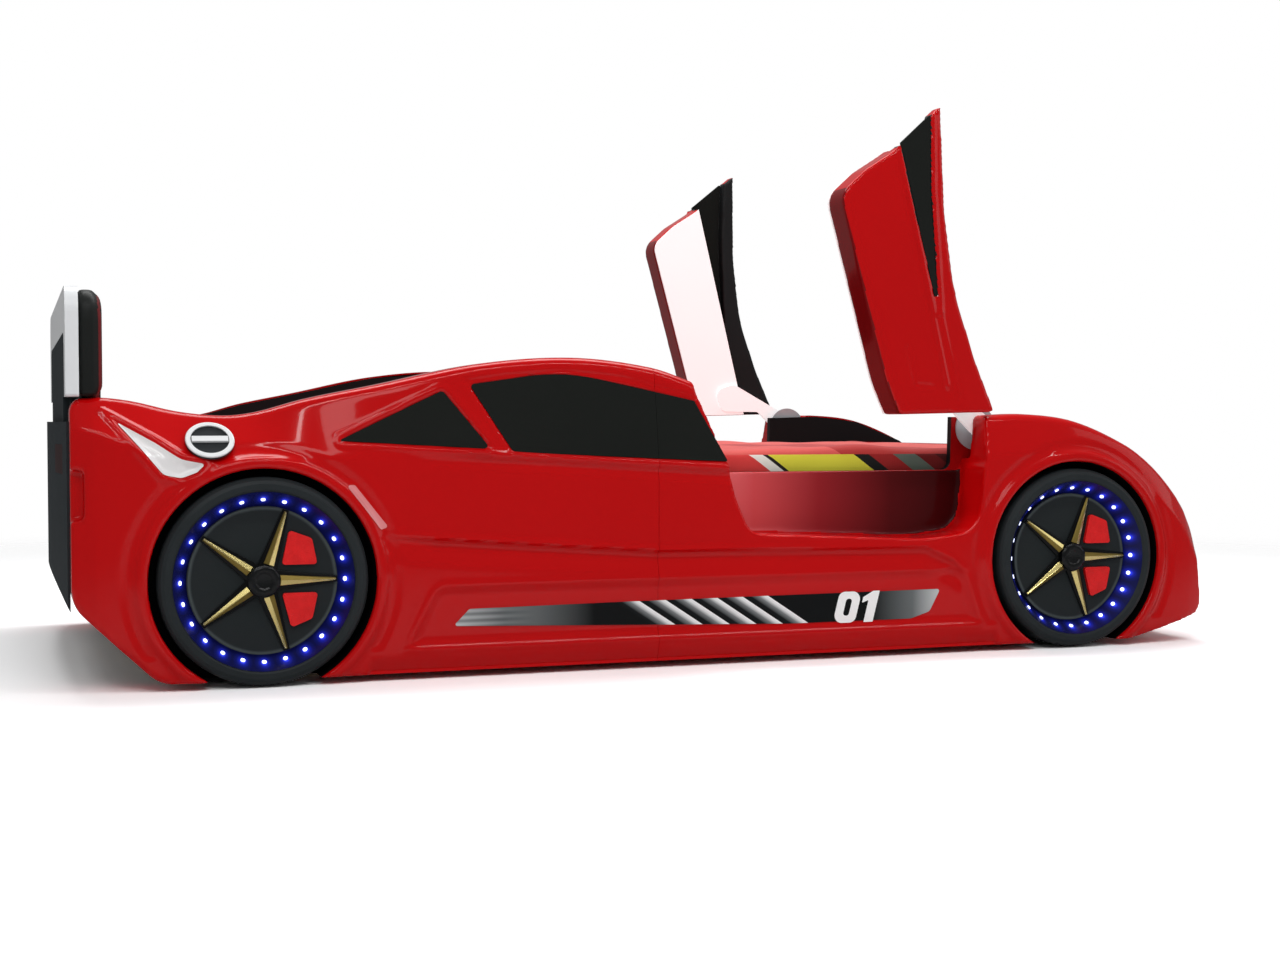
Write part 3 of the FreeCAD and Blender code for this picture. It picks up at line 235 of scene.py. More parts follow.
def leaning(name, out0, out1):
    """A slab that leans with the glasshouse, to cross other shapes with."""
    bpy.ops.mesh.primitive_cube_add(size=1, location=(-0.3, -(out0 + out1) / 2 * MM, 0.5),
                                    scale=(3, (out1 - out0) * MM, 1.6))
    obj = named(name)
    settle(obj)
    turned(obj, (0, -(FACE - 2), HOUSE_FOOT_Z), -HOUSE_LEAN, "X")
    return obj


def places(items, spot):
    """Places in millimetres and normals of a mesh's vertices or faces, as arrays."""
    place, normal = np.zeros(len(items) * 3), np.zeros(len(items) * 3)
    items.foreach_get(spot, place)
    items.foreach_get("normal", normal)
    return place.reshape(-1, 3) / MM, normal.reshape(-1, 3)


def dress(obj, *finishes):
    """Gives a piece its finishes; faces have the first unless coloured otherwise."""
    obj.data.materials.clear()
    for finish in finishes:
        obj.data.materials.append(finish)


def coloured(obj, number, mask):
    """Gives the marked faces the piece's finish of this number."""
    slots = np.zeros(len(obj.data.polygons), np.int32)
    obj.data.polygons.foreach_get("material_index", slots)
    slots[mask] = number
    obj.data.polygons.foreach_set("material_index", slots)


def cut_plane(obj, place, normal, fill=False):
    """Takes away what lies on the normal's side of a plane."""
    edit(obj, lambda: bpy.ops.mesh.bisect(plane_co=place, plane_no=normal, clear_outer=True, use_fill=fill))


def copied(obj, name):
    made = obj.copy()
    made.data = obj.data.copy()
    made.name = made.data.name = name
    bpy.context.scene.collection.objects.link(made)
    return made


def mirrored(obj, name):
    """The left-hand twin of a right-hand piece."""
    made = copied(obj, name)
    made.data.transform(Matrix.Scale(-1, 4, (0, 1, 0)))
    made.data.flip_normals()
    return made


def smooth_shade(obj, degrees):
    only(obj)
    bpy.ops.object.shade_smooth_by_angle(angle=math.radians(degrees))


def put_points(obj, place):
    obj.data.vertices.foreach_set("co", (place * MM).ravel())
    obj.data.update()


def line_distance(x, z, points, closed=False):
    """Distance in side view from each (x, z) to a line through points."""
    best = np.full(len(x), 1e9)
    ends = points[1:] + points[:1] if closed else points[1:]
    for a, b in zip(points, ends):
        dx, dz = b[0] - a[0], b[1] - a[1]
        t = np.clip(((x - a[0]) * dx + (z - a[1]) * dz) / (dx * dx + dz * dz), 0, 1)
        best = np.minimum(best, np.hypot(x - a[0] - t * dx, z - a[1] - t * dz))
    return best


def edge_distance(x, z, outline):
    """Distance in side view from each (x, z) to an outline with rounded corners."""
    return line_distance(x, z, corner_points(outline), closed=True)


def within(x, z, points):
    """Whether each (x, z) lies inside an outline."""
    inside = np.zeros(len(x), bool)
    for a, b in zip(points, points[1:] + points[:1]):
        crosses = (a[1] > z) != (b[1] > z)
        rise = b[1] - a[1] or 1e-9
        inside ^= crosses & (x < (b[0] - a[0]) * (z - a[1]) / rise + a[0])
    return inside


def hump(distance, width):
    """1 on a line, falling smoothly to 0 at width."""
    return 0.5 + 0.5 * np.cos(np.pi * np.clip(distance / width, 0, 1))


def ramp(value, low, high):
    """0 below low and 1 above high, smooth between."""
    t = np.clip((value - low) / (high - low), 0, 1)
    return t * t * (3 - 2 * t)


# ---------------------------------------------------------------- moulded sides
def section_at(x):
    """The side's section values at x, as a smooth curve through the table."""
    i = next((k for k in range(1, len(SECTIONS) - 1) if SECTIONS[k][0] > x), len(SECTIONS) - 1)
    before, a, b, after = (SECTIONS[max(0, min(len(SECTIONS) - 1, k))] for k in (i - 2, i - 1, i, i + 1))
    span = b[0] - a[0]
    t = (x - a[0]) / span
    made = []
    for k in range(1, 5):
        slope_a = (b[k] - before[k]) / (b[0] - before[0]) * span
        slope_b = (after[k] - a[k]) / (after[0] - a[0]) * span
        made.append((2 * t**3 - 3 * t**2 + 1) * a[k] + (t**3 - 2 * t**2 + t) * slope_a
                    + (3 * t**2 - 2 * t**3) * b[k] + (t**3 - t**2) * slope_b)
    return made


def section_points(x):
    """(out, z) round one section, from the bottom at the board, up the outside and back down."""
    face_steps, lean_steps, roll_steps = 30, 10, 8
    shoulder, top, face_in, top_in = section_at(x)
    inner, low, face, corner = BOARD_OUT - 12, -5.0, FACE - face_in, FACE - top_in
    lean = math.atan2(top_in - face_in, top - shoulder)
    back = ROLL / math.tan((math.pi / 2 + lean) / 2)
    start = (corner + math.sin(lean) * back, top - math.cos(lean) * back)
    points = [(inner, low)]
    points += [(face, low + (shoulder - low) * k / face_steps) for k in range(face_steps)]
    points += [(face + (start[0] - face) * k / lean_steps, shoulder + (start[1] - shoulder) * k / lean_steps)
               for k in range(lean_steps)]
    centre = (corner - back, top - ROLL)
    first = math.atan2(start[1] - centre[1], start[0] - centre[0])
    for k in range(roll_steps + 1):
        a = first + (math.pi / 2 - first) * k / roll_steps
        points.append((centre[0] + ROLL * math.cos(a), centre[1] + ROLL * math.sin(a)))
    points += [(inner, top), (inner, low)]
    return points


def side_block():
    """The outer form of a side: a grid laid through its sections, closed, then cut to its side view."""
    stations = np.linspace(SIDE_REAR, SIDE_FRONT, 116)
    rings = [section_points(x) for x in stations]
    rows = len(rings[0])
    bpy.ops.mesh.primitive_grid_add(x_subdivisions=len(stations) - 1, y_subdivisions=rows - 1, size=2)
    block = named("side_block")
    for vertex in block.data.vertices:
        i = round((vertex.co.x + 1) / 2 * (len(stations) - 1))
        j = round((vertex.co.y + 1) / 2 * (rows - 1))
        vertex.co = (stations[i] * MM, -rings[i][j][0] * MM, rings[i][j][1] * MM)

    edit(block, lambda: bpy.ops.mesh.remove_doubles(threshold=1e-5),
         lambda: bpy.ops.mesh.fill_holes(sides=0), outward)
    combine(block, prism("view", SIDE_VIEW, BOARD_OUT - 60, FACE + 20), "INTERSECT")
    return block


def arch_lip(x):
    """The rounded lip moulded round a wheel arch."""
    bpy.ops.mesh.primitive_torus_add(major_segments=128, minor_segments=24, major_radius=(ARCH_R + 9) * MM,
                                     minor_radius=12 * MM, rotation=(math.pi / 2, 0, 0),
                                     location=(x * MM, 0, AXLE_Z * MM))
    lip = named("arch_lip")
    settle(lip)
    lip.data.transform(Matrix.Scale(0.55, 4, (0, 1, 0)))
    lip.data.transform(Matrix.Translation((0, -(FACE - 0.4) * MM, 0)))
    cut_plane(lip, (0, 0, 14 * MM), (0, 0, -1), fill=True)
    return lip


def window_recess(outline):
    """What is cut from a side for a window: a slab that leans with the glasshouse."""
    recess = prism("recess", outline, BOARD_OUT + 10, FACE + 40)
    combine(recess, leaning("slab", FACE - 12, FACE + 60), "INTERSECT")
    return recess


def side_features(block):
    """Ridges, creases and scoops moulded into the side, as moves along its own normals."""
    place, normal = places(block.data.vertices, "co")
    x, y, z = place.T
    outer = ramp(-normal[:, 1], 0.25, 0.5) * (-y > FACE - 100)
    lift = np.zeros(len(x))
    # belt ridge below the side window, with a groove under it
    belt = [(-640, 415), (-373, 403), (59, 376)]
    fade = ramp(x, -620, -380)
    lift += 5.0 * fade * hump(line_distance(x, z, belt), 9)
    lift -= 4.5 * fade * hump(line_distance(x, z, [(a, b - 17) for a, b in belt]), 13)
    # groove between the roof's roll and the side window
    eaves = [(-452, 537), (-383, 548), (-270, 558), (-155, 546), (-12, 510)]
    lift -= 3.5 * hump(line_distance(x, z, eaves), 8)
    # crease from the rear arch to the hook in front of the doorway; below it the side falls back
    crease = [(-640, 262), (-381, 242), (-94, 221), (476, 214), (535, 187), (560, 166)]
    below = np.interp(x, *zip(*crease)) - z
    along = ramp(x, -640, -500) * (1 - ramp(x, 540, 575))
    lift -= 7.5 * along * (below > -3) * ramp(below, -2, 5) * (1 - ramp(below, 14, 50))
    lift += 3.4 * along * hump(np.abs(below + 3), 7)
    # raised edge round the sill's pocket, stronger along its foot
    lift += 1.8 * hump(np.abs(edge_distance(x, z, SILL_BAND) - 5), 8)
    lift += 2.2 * hump(line_distance(x, z, [(-572, 54), (600, 54)]), 8)
    # sill, undercut below its ridge line
    lift -= 9.0 * (np.abs(x) < 640) * ramp(-z, -47, -12)
    # raised rim round the quarter window
    lift += 3.2 * hump(np.abs(edge_distance(x, z, QUARTER_WINDOW) - 7), 8)
    # scooped blade ahead of the fuel filler, and the slash over the rear arch
    for outline, deep, rim in ((grown(SCOOP, -6), 9.0, 4.0), (ARCH_SLASH, 2.0, 0.8)):
        edge = edge_distance(x, z, outline)
        lift -= deep * within(x, z, corner_points(outline)) * ramp(edge, 0, 16)
        lift += rim * hump(edge, 9)
    # a shallow groove round each arch, which leaves a shoulder beside the lip
    for axle in (-AXLE, AXLE):
        r = np.hypot(x - axle, z - AXLE_Z)
        lift -= 3.0 * hump(np.abs(r - (ARCH_R + 34)), 16) * (z > 60)
    put_points(block, place + normal * (lift * outer)[:, None])


def inlay(side, outline, name):
    """A thin inlay that follows the side's surface inside an outline."""
    patch = copied(side, name)
    place, normal = places(patch.data.polygons, "center")
    x, y, z = place.T
    xs, zs, _ = zip(*outline)
    far = (x <= min(xs) - 15) | (x >= max(xs) + 15) | (z <= min(zs) - 15) | (z >= max(zs) + 15)
    far |= (-y <= FACE - 110) | (normal[:, 1] >= -0.1)
    edit(patch, lambda: bpy.ops.mesh.delete(type="FACE"), faces=far)
    modify(patch, "SUBSURF", levels=1, render_levels=1)
    modify(patch, "SOLIDIFY", thickness=1.6 * MM, offset=0.5, use_rim=True)
    combine(patch, prism("inlay_view", outline, FACE - 130, FACE + 40), "INTERSECT")
    smooth_shade(patch, 40)
    return patch


def build_sides():
    """Both sides, each in a rear and a front length, and the right-hand side's two painted highlights, laid on
    as thin pieces.
    """
    block = side_block()
    for x in (-AXLE, AXLE):
        combine(block, arch_lip(x), "UNION")
    for x in (-AXLE, AXLE):
        combine(block, disc("well", x, AXLE_Z, ARCH_R, WELL_OUT, FACE + 50), "DIFFERENCE")
    cutters = [prism("cutter", outline, out0, out1) for outline, out0, out1 in (
        (SILL_BAND, FACE - 8, FACE + 50), (DOORWAY, BOARD_OUT + 4, FACE + 50),
        (OVER_RAIL, BOARD_OUT - 80, FACE), (VENT, FACE - 36, FACE + 50))]
    cutters += [window_recess(QUARTER_WINDOW), window_recess(SIDE_WINDOW),
                prism("cutter", BRACKET_SLOT, BOARD_OUT - 30, BOARD_OUT + 30)]
    for cutter in cutters:
        combine(block, cutter, "DIFFERENCE")
    remeshed(block, 0.0045)
    smoothed(block, 3)
    side_features(block)
    smoothed(block, 2)
    cut_plane(block, (0, -BOARD_OUT * MM, 0), (0, 1, 0))
    made, painted_highlight_pieces = {}, []
    for part, way in (("rear", 1), ("front", -1)):
        half = copied(block, f"side_{part}_right")
        cut_plane(half, ((SEAM_X - way * SEAM_GAP / 2) * MM, 0, 0), (way, 0, 0))
        if part == "rear":
            # thin pieces on the shoulder and over the arch that stand in for highlights: painted highlights
            painted_highlight_pieces = [inlay(half, SCOOP, "shoulder_painted_highlight"), inlay(half, ARCH_SLASH, "arch_painted_highlight")]
        modify(half, "SOLIDIFY", thickness=WALL * MM, offset=-1, use_rim=True)
        smooth_shade(half, 50)
        dress(half, red_abs, arch_well_painted_shade, rail_painted_reflection)
        place, normal = places(half.data.polygons, "center")
        x, y, z = place.T
        # the arches' inner faces take the near-black finish: painted shade
        for axle in (-AXLE, AXLE):
            coloured(half, 1, (np.hypot(x - axle, z - AXLE_Z) < ARCH_R + 1.5) & (-y < FACE - 1))
        # the doorway's hollow takes the rail finish, whose pink-to-maroon fade is a painted reflection
        rear, front, foot, top = HOLLOW
        coloured(half, 2, (-y < BOARD_OUT + 9) & (x > rear) & (x < front) & (z > foot) & (z < top)
                 & (normal[:, 1] < -0.5))
        made[part, "right"] = half
        made[part, "left"] = mirrored(half, f"side_{part}_left")
    bpy.data.objects.remove(block)
    return made, painted_highlight_pieces


# ---------------------------------------------------------------- doors
def grown(points, d):
    """A closed outline of (x, z, radius) points, drawn in by d."""
    area = sum(a[0] * b[1] - b[0] * a[1] for a, b in zip(points, points[1:] + points[:1]))
    turn = 1.0 if area > 0 else -1.0
    lines = []
    for a, b in zip(points, points[1:] + points[:1]):
        size = math.hypot(b[0] - a[0], b[1] - a[1])
        u = ((b[0] - a[0]) / size, (b[1] - a[1]) / size)
        lines.append(((a[0] - u[1] * turn * d, a[1] + u[0] * turn * d), u))
    made = []
    for i, point in enumerate(points):
        (p, u), (q, w) = lines[i - 1], lines[i]
        cross = u[0] * w[1] - u[1] * w[0]
        t = ((q[0] - p[0]) * w[1] - (q[1] - p[1]) * w[0]) / cross
        made.append((p[0] + u[0] * t, p[1] + u[1] * t, point[2]))
    return made


def door_view(name, out0, out1):
    """The door's side view as a prism."""
    door = prism(name, grown(DOORWAY, DOOR_GAP), out0, out1)
    behind_front = [(-80, 540, 0), (-80, 100, 0), *DOOR_FRONT, *DOOR_TOP]
    combine(door, prism("top", behind_front, out0 - 5, out1 + 5), "INTERSECT")
    return door


def belt_height(x):
    """Height of the door's belt line at x."""
    (x0, z0), (x1, z1) = BELT
    return z0 + (x - x0) * ((z1 - z0) / (x1 - x0))


def below_belt(drop, out0, out1):
    """All that lies more than drop below the belt line."""
    rear, front, foot = -80, 680, 100
    return prism("belt", [(rear, belt_height(rear) - drop, 0), (rear, foot, 0), (front, foot, 0),
                          (front, belt_height(front) - drop, 0)], out0, out1)


def build_door():
    """The right-hand door's moulded shell, made shut and swung open."""
    face, back = FACE - 4, FACE - 75
    shell = door_view("door_right", back, face)
    combine(shell, below_belt(0, back - 5, face + 5), "INTERSECT")
    modify(shell, "BEVEL", width=9 * MM, segments=4, limit_method="ANGLE", angle_limit=math.radians(50))
    sash = door_view("sash", back - 40, face + 1)
    combine(sash, leaning("band", FACE - 34, FACE - 4), "INTERSECT")
    combine(sash, below_belt(3, back - 60, face + 5), "DIFFERENCE")
    combine(sash, prism("glass_opening", DOOR_WINDOW, back - 50, face + 20), "DIFFERENCE")
    combine(shell, sash, "UNION")
    remeshed(shell, 0.0036)
    smoothed(shell, 4)
    place, normal = places(shell.data.vertices, "co")
    x, _, z = place.T
    # belt ridge, with a second finer one above it
    lift = 3.4 * hump(line_distance(x, z, [(48, 399), (530, 361)]), 8)
    lift += 1.8 * hump(line_distance(x, z, [(380, 392), (560, 380)]), 6)
    lift += 2.0 * hump(np.abs(edge_distance(x, z, DOOR_WINDOW) - 7), 8)
    # shallow step inside the panel's edge, and a short crease near the door's front foot
    lift -= 1.5 * hump(line_distance(x, z, [(110, 262), (470, 250), (540, 262)]), 9)
    lift -= 2.2 * hump(line_distance(x, z, [(430, 300), (505, 296), (520, 330)]), 8)
    put_points(shell, place + normal * (lift * ramp(-normal[:, 1], 0.3, 0.6))[:, None])
    smoothed(shell, 2)
    dress(shell, red_abs, red_abs_painted_shade, sash_black)
    place, normal = places(shell.data.polygons, "center")
    x, _, z = place.T
    # the door's underside, which faces the room when open, takes a darker copy of the red: painted shade
    coloured(shell, 1, (normal[:, 2] < -0.55) & (z < 330))
    coloured(shell, 2, (normal[:, 1] > 0.3) & (z > belt_height(x) - 2))
    coloured(shell, 2, (edge_distance(x, z, DOOR_WINDOW) < 6) & (np.abs(normal[:, 1]) < 0.75))
    turned(shell, (HINGE[0], 0, HINGE[1]), DOOR_SWING, "Y")
    smooth_shade(shell, 60)
    return shell


# ---------------------------------------------------------------- wheels and number
def at_wheels(piece, name):
    """Copies a piece made about a wheel's axis to all four wheels, as one object."""
    made = []
    for x in (-AXLE, AXLE):
        near = copied(piece, name)
        near.data.transform(Matrix.Translation((x * MM, 0, AXLE_Z * MM)))
        made += [near, mirrored(near, name)]
    bpy.data.objects.remove(piece)
    only(*made)
    bpy.ops.object.join()
    return named(name)


def spoke_bar(name, r0, r1, root, tip, foot):
    """A tapering ridged bar; root and tip are its half width, shoulder and ridge above the disc."""
    bpy.ops.mesh.primitive_circle_add(vertices=5, fill_type="NGON")
    bar = named(name)

    def section(r, half, shoulder, ridge):
        rows = [(-half, foot), (half, foot), (half, shoulder), (0, ridge), (-half, shoulder)]
        return [Vector((r, -(DISC_FACE + up), across)) * MM for across, up in rows]

    for vertex, spot in zip(bar.data.vertices, section(r0, *root)):
        vertex.co = spot
    along = {"value": ((r1 - r0) * MM, 0, 0)}
    edit(bar, lambda: bpy.ops.mesh.extrude_region_move(TRANSFORM_OT_translate=along), outward)
    tips = {tuple(round(c, 6) for c in a[1:]): b for a, b in zip(section(r0, *root), section(r1, *tip))}
    for vertex in bar.data.vertices:
        if vertex.co.x > (r0 + r1) / 2 * MM:
            vertex.co = tips[tuple(round(c, 6) for c in vertex.co[1:])]
    modify(bar, "BEVEL", width=0.7 * MM, segments=2)
    return bar


def build_stars():
    """Five black ridged spokes per wheel, each with a plated strip let into its middle."""
    body = spoke_bar("spoke", 10, 130, (19, 4, 9), (5.5, 3, 5), 0.2)
    strip = spoke_bar("strip", 29, 127, (9.5, 8, 13), (2.6, 5, 7.5), 2)
    hub = disc("hub", 0, 0, 26, DISC_FACE + 0.2, DISC_FACE + 9, sides=40)
    for source in (body, strip, hub):
        dress(source, star_black, gold_plate, gold_painted_shade)
    place, _ = places(strip.data.polygons, "center")
    # one flank of each strip keeps the gold, the other takes its darker copy: painted shade
    coloured(strip, 1, place[:, 2] < 0)
    coloured(strip, 2, place[:, 2] >= 0)
    bars = []
    for i in range(5):
        for source in (body, strip):
            bar = copied(source, "bar")
            turned(bar, (0, 0, 0), 72 * i, "Y")
            bars.append(bar)
    for source in (body, strip):
        bpy.data.objects.remove(source)
    only(*bars, hub)
    bpy.ops.object.join()
    return at_wheels(hub, "wheel_stars")


def build_hub_caps():
    """A ten-sided cap with a raised ring and a sunk middle."""
    cap = disc("cap", 0, 0, 29, DISC_FACE + 11, DISC_FACE + 16, sides=10)
    for inset, rise in ((5, 3), (7, -0.2), (3, -2.5)):
        place, normal = places(cap.data.polygons, "center")
        spread = np.where(normal[:, 1] < -0.9, np.hypot(place[:, 0], place[:, 2]), np.inf)
        middle = np.arange(len(spread)) == spread.argmin()
        edit(cap, lambda: bpy.ops.mesh.inset(thickness=inset * MM, depth=rise * MM), faces=middle)
    modify(cap, "BEVEL", width=0.6 * MM, segments=2, limit_method="ANGLE", angle_limit=math.radians(20))
    dress(cap, cap_abs)
    smooth_shade(cap, 20)
    return at_wheels(cap, "hub_caps_faceted")


def build_number(way, name):
    """The plain number on a sill plate; way is 1 on the right-hand side and -1 on the left."""
    out0, out1 = FACE - 6.3, FACE - 5.8
    left, foot, lean, high, middle = 273, 70, 0.26, 61, 323

    def digit(title, *points, deeper=0):
        slanted = [(left + u + lean * v, foot + v, r) for u, v, r in points]
        return prism(title, slanted, out0 - deeper, out1 + deeper)

    nought = digit(name, (0, 0, 15), (48, 0, 15), (48, high, 15), (0, high, 15))
    slot = digit("slot", (18, 14, 6), (31, 14, 6), (31, 47, 6), (18, 47, 6), deeper=5)
    combine(nought, slot, "DIFFERENCE")
    one = digit("one", (67, 0, 1), (87, 0, 1), (87, high, 1), (73, high, 1), (54, 49, 1), (54, 38, 1),
                (67, 43, 1))
    only(one, nought)
    bpy.ops.object.join()
    if way < 0:
        turned(nought, (middle, 0, 0), 180, "Z")
    dress(nought, number_white)
    return nought


# ---------------------------------------------------------------- soft goods
def build_mattress():
    lo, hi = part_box("mattress")
    shy = Vector((6, 8, 4)) * MM                # smaller than its place, so the cover lies clear of it
    bpy.ops.mesh.primitive_cube_add(size=1, location=(lo + hi) / 2 - Vector((0, 0, shy.z / 2)),
                                    scale=hi - lo - shy)
    pad = named("mattress_foam")
    settle(pad)
    modify(pad, "BEVEL", width=0.022, segments=3)
    remeshed(pad, 0.012)
    smoothed(pad, 3)
    smooth_shade(pad, 60)
    return pad


def build_bedspread():
    """A quilted cover over the mattress, its edges folded down round the sides."""
    lo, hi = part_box("bedspread")
    middle, half = (lo + hi) / 2, (hi - lo) / 2
    bpy.ops.mesh.primitive_grid_add(x_subdivisions=260, y_subdivisions=150, size=2)
    cover = named("bedspread_cloth")
    place, _ = places(cover.data.vertices, "co")
    drop, radius = hi.z - lo.z, 0.022

    def fold(share, reach):
        """Across, then round the edge and down: returns the place and the drop."""
        value, flat = share * MM * (reach + drop), reach - radius
        size = np.abs(value)
        angle = np.clip((size - flat) / radius, 0, math.pi / 2)
        straight = np.clip(size - flat - radius * math.pi / 2, 0, None)
        across = np.minimum(size, flat) + radius * np.sin(angle)
        return np.sign(value) * across, radius * (1 - np.cos(angle)) + straight

    px, dx = fold(place[:, 0], half.x)
    py, dy = fold(place[:, 1], half.y)
    down = np.maximum(dx, dy)
    # small creases, broad waves, and gathers towards the long edges
    ripple = 0.0022 * np.sin(px * 31 + 1.3 * np.sin(py * 9)) * np.cos(py * 23 + 0.7 * np.sin(px * 12))
    ripple += 0.003 * np.sin(px * 9.5 + 0.8) * np.sin(py * 7.1 + 0.4)
    ripple += 0.0035 * np.sin(px * 14 + 0.5) * ramp(np.abs(py), 0.2, 0.44)
    z = hi.z - 0.006 - down + ripple * (1 - ramp(down, 0.0, 0.03))
    # the hanging edge waves in and out a little
    wave = 0.0009 * (1 + np.sin(px * 42 + 2 * np.sin(px * 11))) * ramp(dy, 0.01, 0.06)
    py = py - np.sign(py) * (0.0006 + wave)
    place = np.stack([middle.x + px, middle.y + py, np.maximum(z, lo.z)], axis=1)
    put_points(cover, place / MM)
    modify(cover, "SOLIDIFY", thickness=0.002, offset=-1)
    smooth_shade(cover, 60)
    return cover


def build_headboard_pad():
    """The solid model's pad, puffed towards its middle, with two seams across and piping round it."""
    half_wide, foot, head, seams = 540, 404, 692, (560, 628)
    front_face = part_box("headboard_pad")[1].x / MM
    source = copied(nodes["headboard_pad"], "headboard_cushion")
    source.parent = None
    for key in list(source.keys()):
        del source[key]
    edit(source, lambda: bpy.ops.mesh.remove_doubles(threshold=1e-5))
    remeshed(source, 0.006)
    place, normal = places(source.data.vertices, "co")
    _, y, z = place.T
    edge = np.minimum(half_wide - np.abs(y), np.minimum(head - z, z - foot))
    lift = 3.0 * np.sin(np.clip(edge / 60, 0, 1) * math.pi / 2)
    for level in seams:
        lift -= 5.0 * hump(np.abs(z - level), 9) * ramp(-np.abs(y), -500, -455)
    put_points(source, place + normal * ((lift - 2.5) * ramp(normal[:, 0], 0.2, 0.7))[:, None])
    smoothed(source, 4)
    smooth_shade(source, 60)
    dress(source, pad_vinyl, piping_vinyl)
    place, normal = places(source.data.polygons, "center")
    x, _, z = place.T
    coloured(source, 1, (x > front_face - 8) & (np.abs(normal[:, 0]) < 0.9) & (z > foot + 16))
    return source


# ---------------------------------------------------------------- materials
def tone(text):
    """An sRGB hex colour as a linear one."""
    channels = [int(text[i:i + 2], 16) / 255 for i in (1, 3, 5)]
    return (*[c / 12.92 if c <= 0.04045 else ((c + 0.055) / 1.055) ** 2.4 for c in channels], 1.0)


def add(tree, kind, inputs=(), **attributes):
    """Adds a node; its inputs, in order or keyed, take values, sockets, or nodes for their first output."""
    node = tree.nodes.new("ShaderNode" + kind)
    for key, value in attributes.items():
        setattr(node, key, value)
    for key, value in inputs.items() if isinstance(inputs, dict) else enumerate(inputs):
        if isinstance(value, bpy.types.Node):
            value = value.outputs[0]
        if isinstance(value, bpy.types.NodeSocket):
            tree.links.new(value, node.inputs[key])
        else:
            node.inputs[key].default_value = value
    return node


def material(name, colour, rough, specular, **sockets):
    """A new material: itself, its node tree and its object coordinates."""
    made = bpy.data.materials.new(name)
    made.use_nodes = True
    tree = made.node_tree
    shader = tree.nodes["Principled BSDF"]
    sockets.update(Base_Color=tone(colour), Roughness=rough, Specular_IOR_Level=specular)
    for key, value in sockets.items():
        shader.inputs[key.replace("_", " ")].default_value = value
    return made, tree, add(tree, "TexCoord").outputs["Object"]


def finished(made, paint, coords, grain, strength, distance):
    """Gives a material its colour and bumps; grain is a noise's scale, per metre, or a height map."""
    tree = made.node_tree
    shader = tree.nodes["Principled BSDF"]
    tree.links.new(paint, shader.inputs["Base Color"])
    if isinstance(grain, float):
        grain = add(tree, "TexNoise", {"Vector": coords, "Scale": grain, "Detail": 2.0})
    bump = add(tree, "Bump", {"Height": grain, "Strength": strength, "Distance": distance})
    tree.links.new(bump.outputs["Normal"], shader.inputs["Normal"])
    return made


def mottle(tree, coords, dark, light, scale, detail=3.0):
    """Colour that drifts between two tones with a noise of this scale, per metre."""
    noise = add(tree, "TexNoise", {"Vector": coords, "Scale": scale, "Detail": detail})
    return add(tree, "Mix", {0: noise, 6: tone(dark), 7: tone(light)}, data_type="RGBA").outputs[2]


def simple(name, colour, light, scale, grain, strength, rough, specular=0.5, distance=0.0004, **sockets):
    """A finish that drifts between two tones, with a fine bump; scale and grain are per metre."""
    made, tree, coords = material(name, colour, rough, specular, **sockets)
    return finished(made, mottle(tree, coords, colour, light, scale), coords, grain, strength, distance)


def stops(node, *colours, hard=False):
    """Sets a colour ramp's stops: pairs of place and hex colour."""
    band = node.color_ramp
    band.interpolation = "CONSTANT" if hard else "LINEAR"
    while len(band.elements) > 1:
        band.elements.remove(band.elements[-1])
    band.elements[0].position, band.elements[0].color = colours[0][0], tone(colours[0][1])
    for place, colour in colours[1:]:
        band.elements.new(place).color = tone(colour)
    return node.outputs["Color"]


def red_lacquer(name, dark, light):
    """Vacuum-formed ABS under clear lacquer: an even red with faint orange peel, drawn 5 mm across."""
    made, tree, coords = material(name, dark, 0.16, 0.05, Coat_Weight=0.3, Coat_Roughness=0.05, IOR=1.5)
    return finished(made, mottle(tree, coords, dark, light, 2.2, 1.0), coords, 200.0, 0.02, 0.0003)


def rail_finish():
    """The same lacquer in the doorway's hollow, with a painted reflection: it fades from pink to maroon along
    the rail.
    """
    made, tree, coords = material("red_lacquer_painted_reflection_along_rail", "#7A1014", 0.14, 0.06,
                                  Coat_Weight=0.1, Coat_Roughness=0.04)
    x, _, _ = add(tree, "SeparateXYZ", (coords,)).outputs
    share = add(tree, "MapRange", {"Value": x, "From Min": 0.06, "From Max": 0.60})
    fade = stops(add(tree, "ValToRGB", (share,)), (0, "#F07C80"), (0.16, "#D05054"), (0.42, "#92242A"),
                 (0.72, "#540E12"), (1, "#340709"))
    return finished(made, fade, coords, 200.0, 0.02, 0.0003)


def wheel_places(tree, coords):
    """Place from the nearer axle, in metres: x towards the front, z up, and distance from the axle."""
    x, _, z = add(tree, "SeparateXYZ", (coords,)).outputs
    end = add(tree, "Math", (x,), operation="SIGN")
    x = add(tree, "Math", (end, -AXLE * MM, x), operation="MULTIPLY_ADD")
    z = add(tree, "Math", (z, AXLE_Z * MM), operation="SUBTRACT")
    flat = add(tree, "CombineXYZ", (x, z))
    return x, z, add(tree, "VectorMath", (flat,), operation="LENGTH").outputs["Value"]


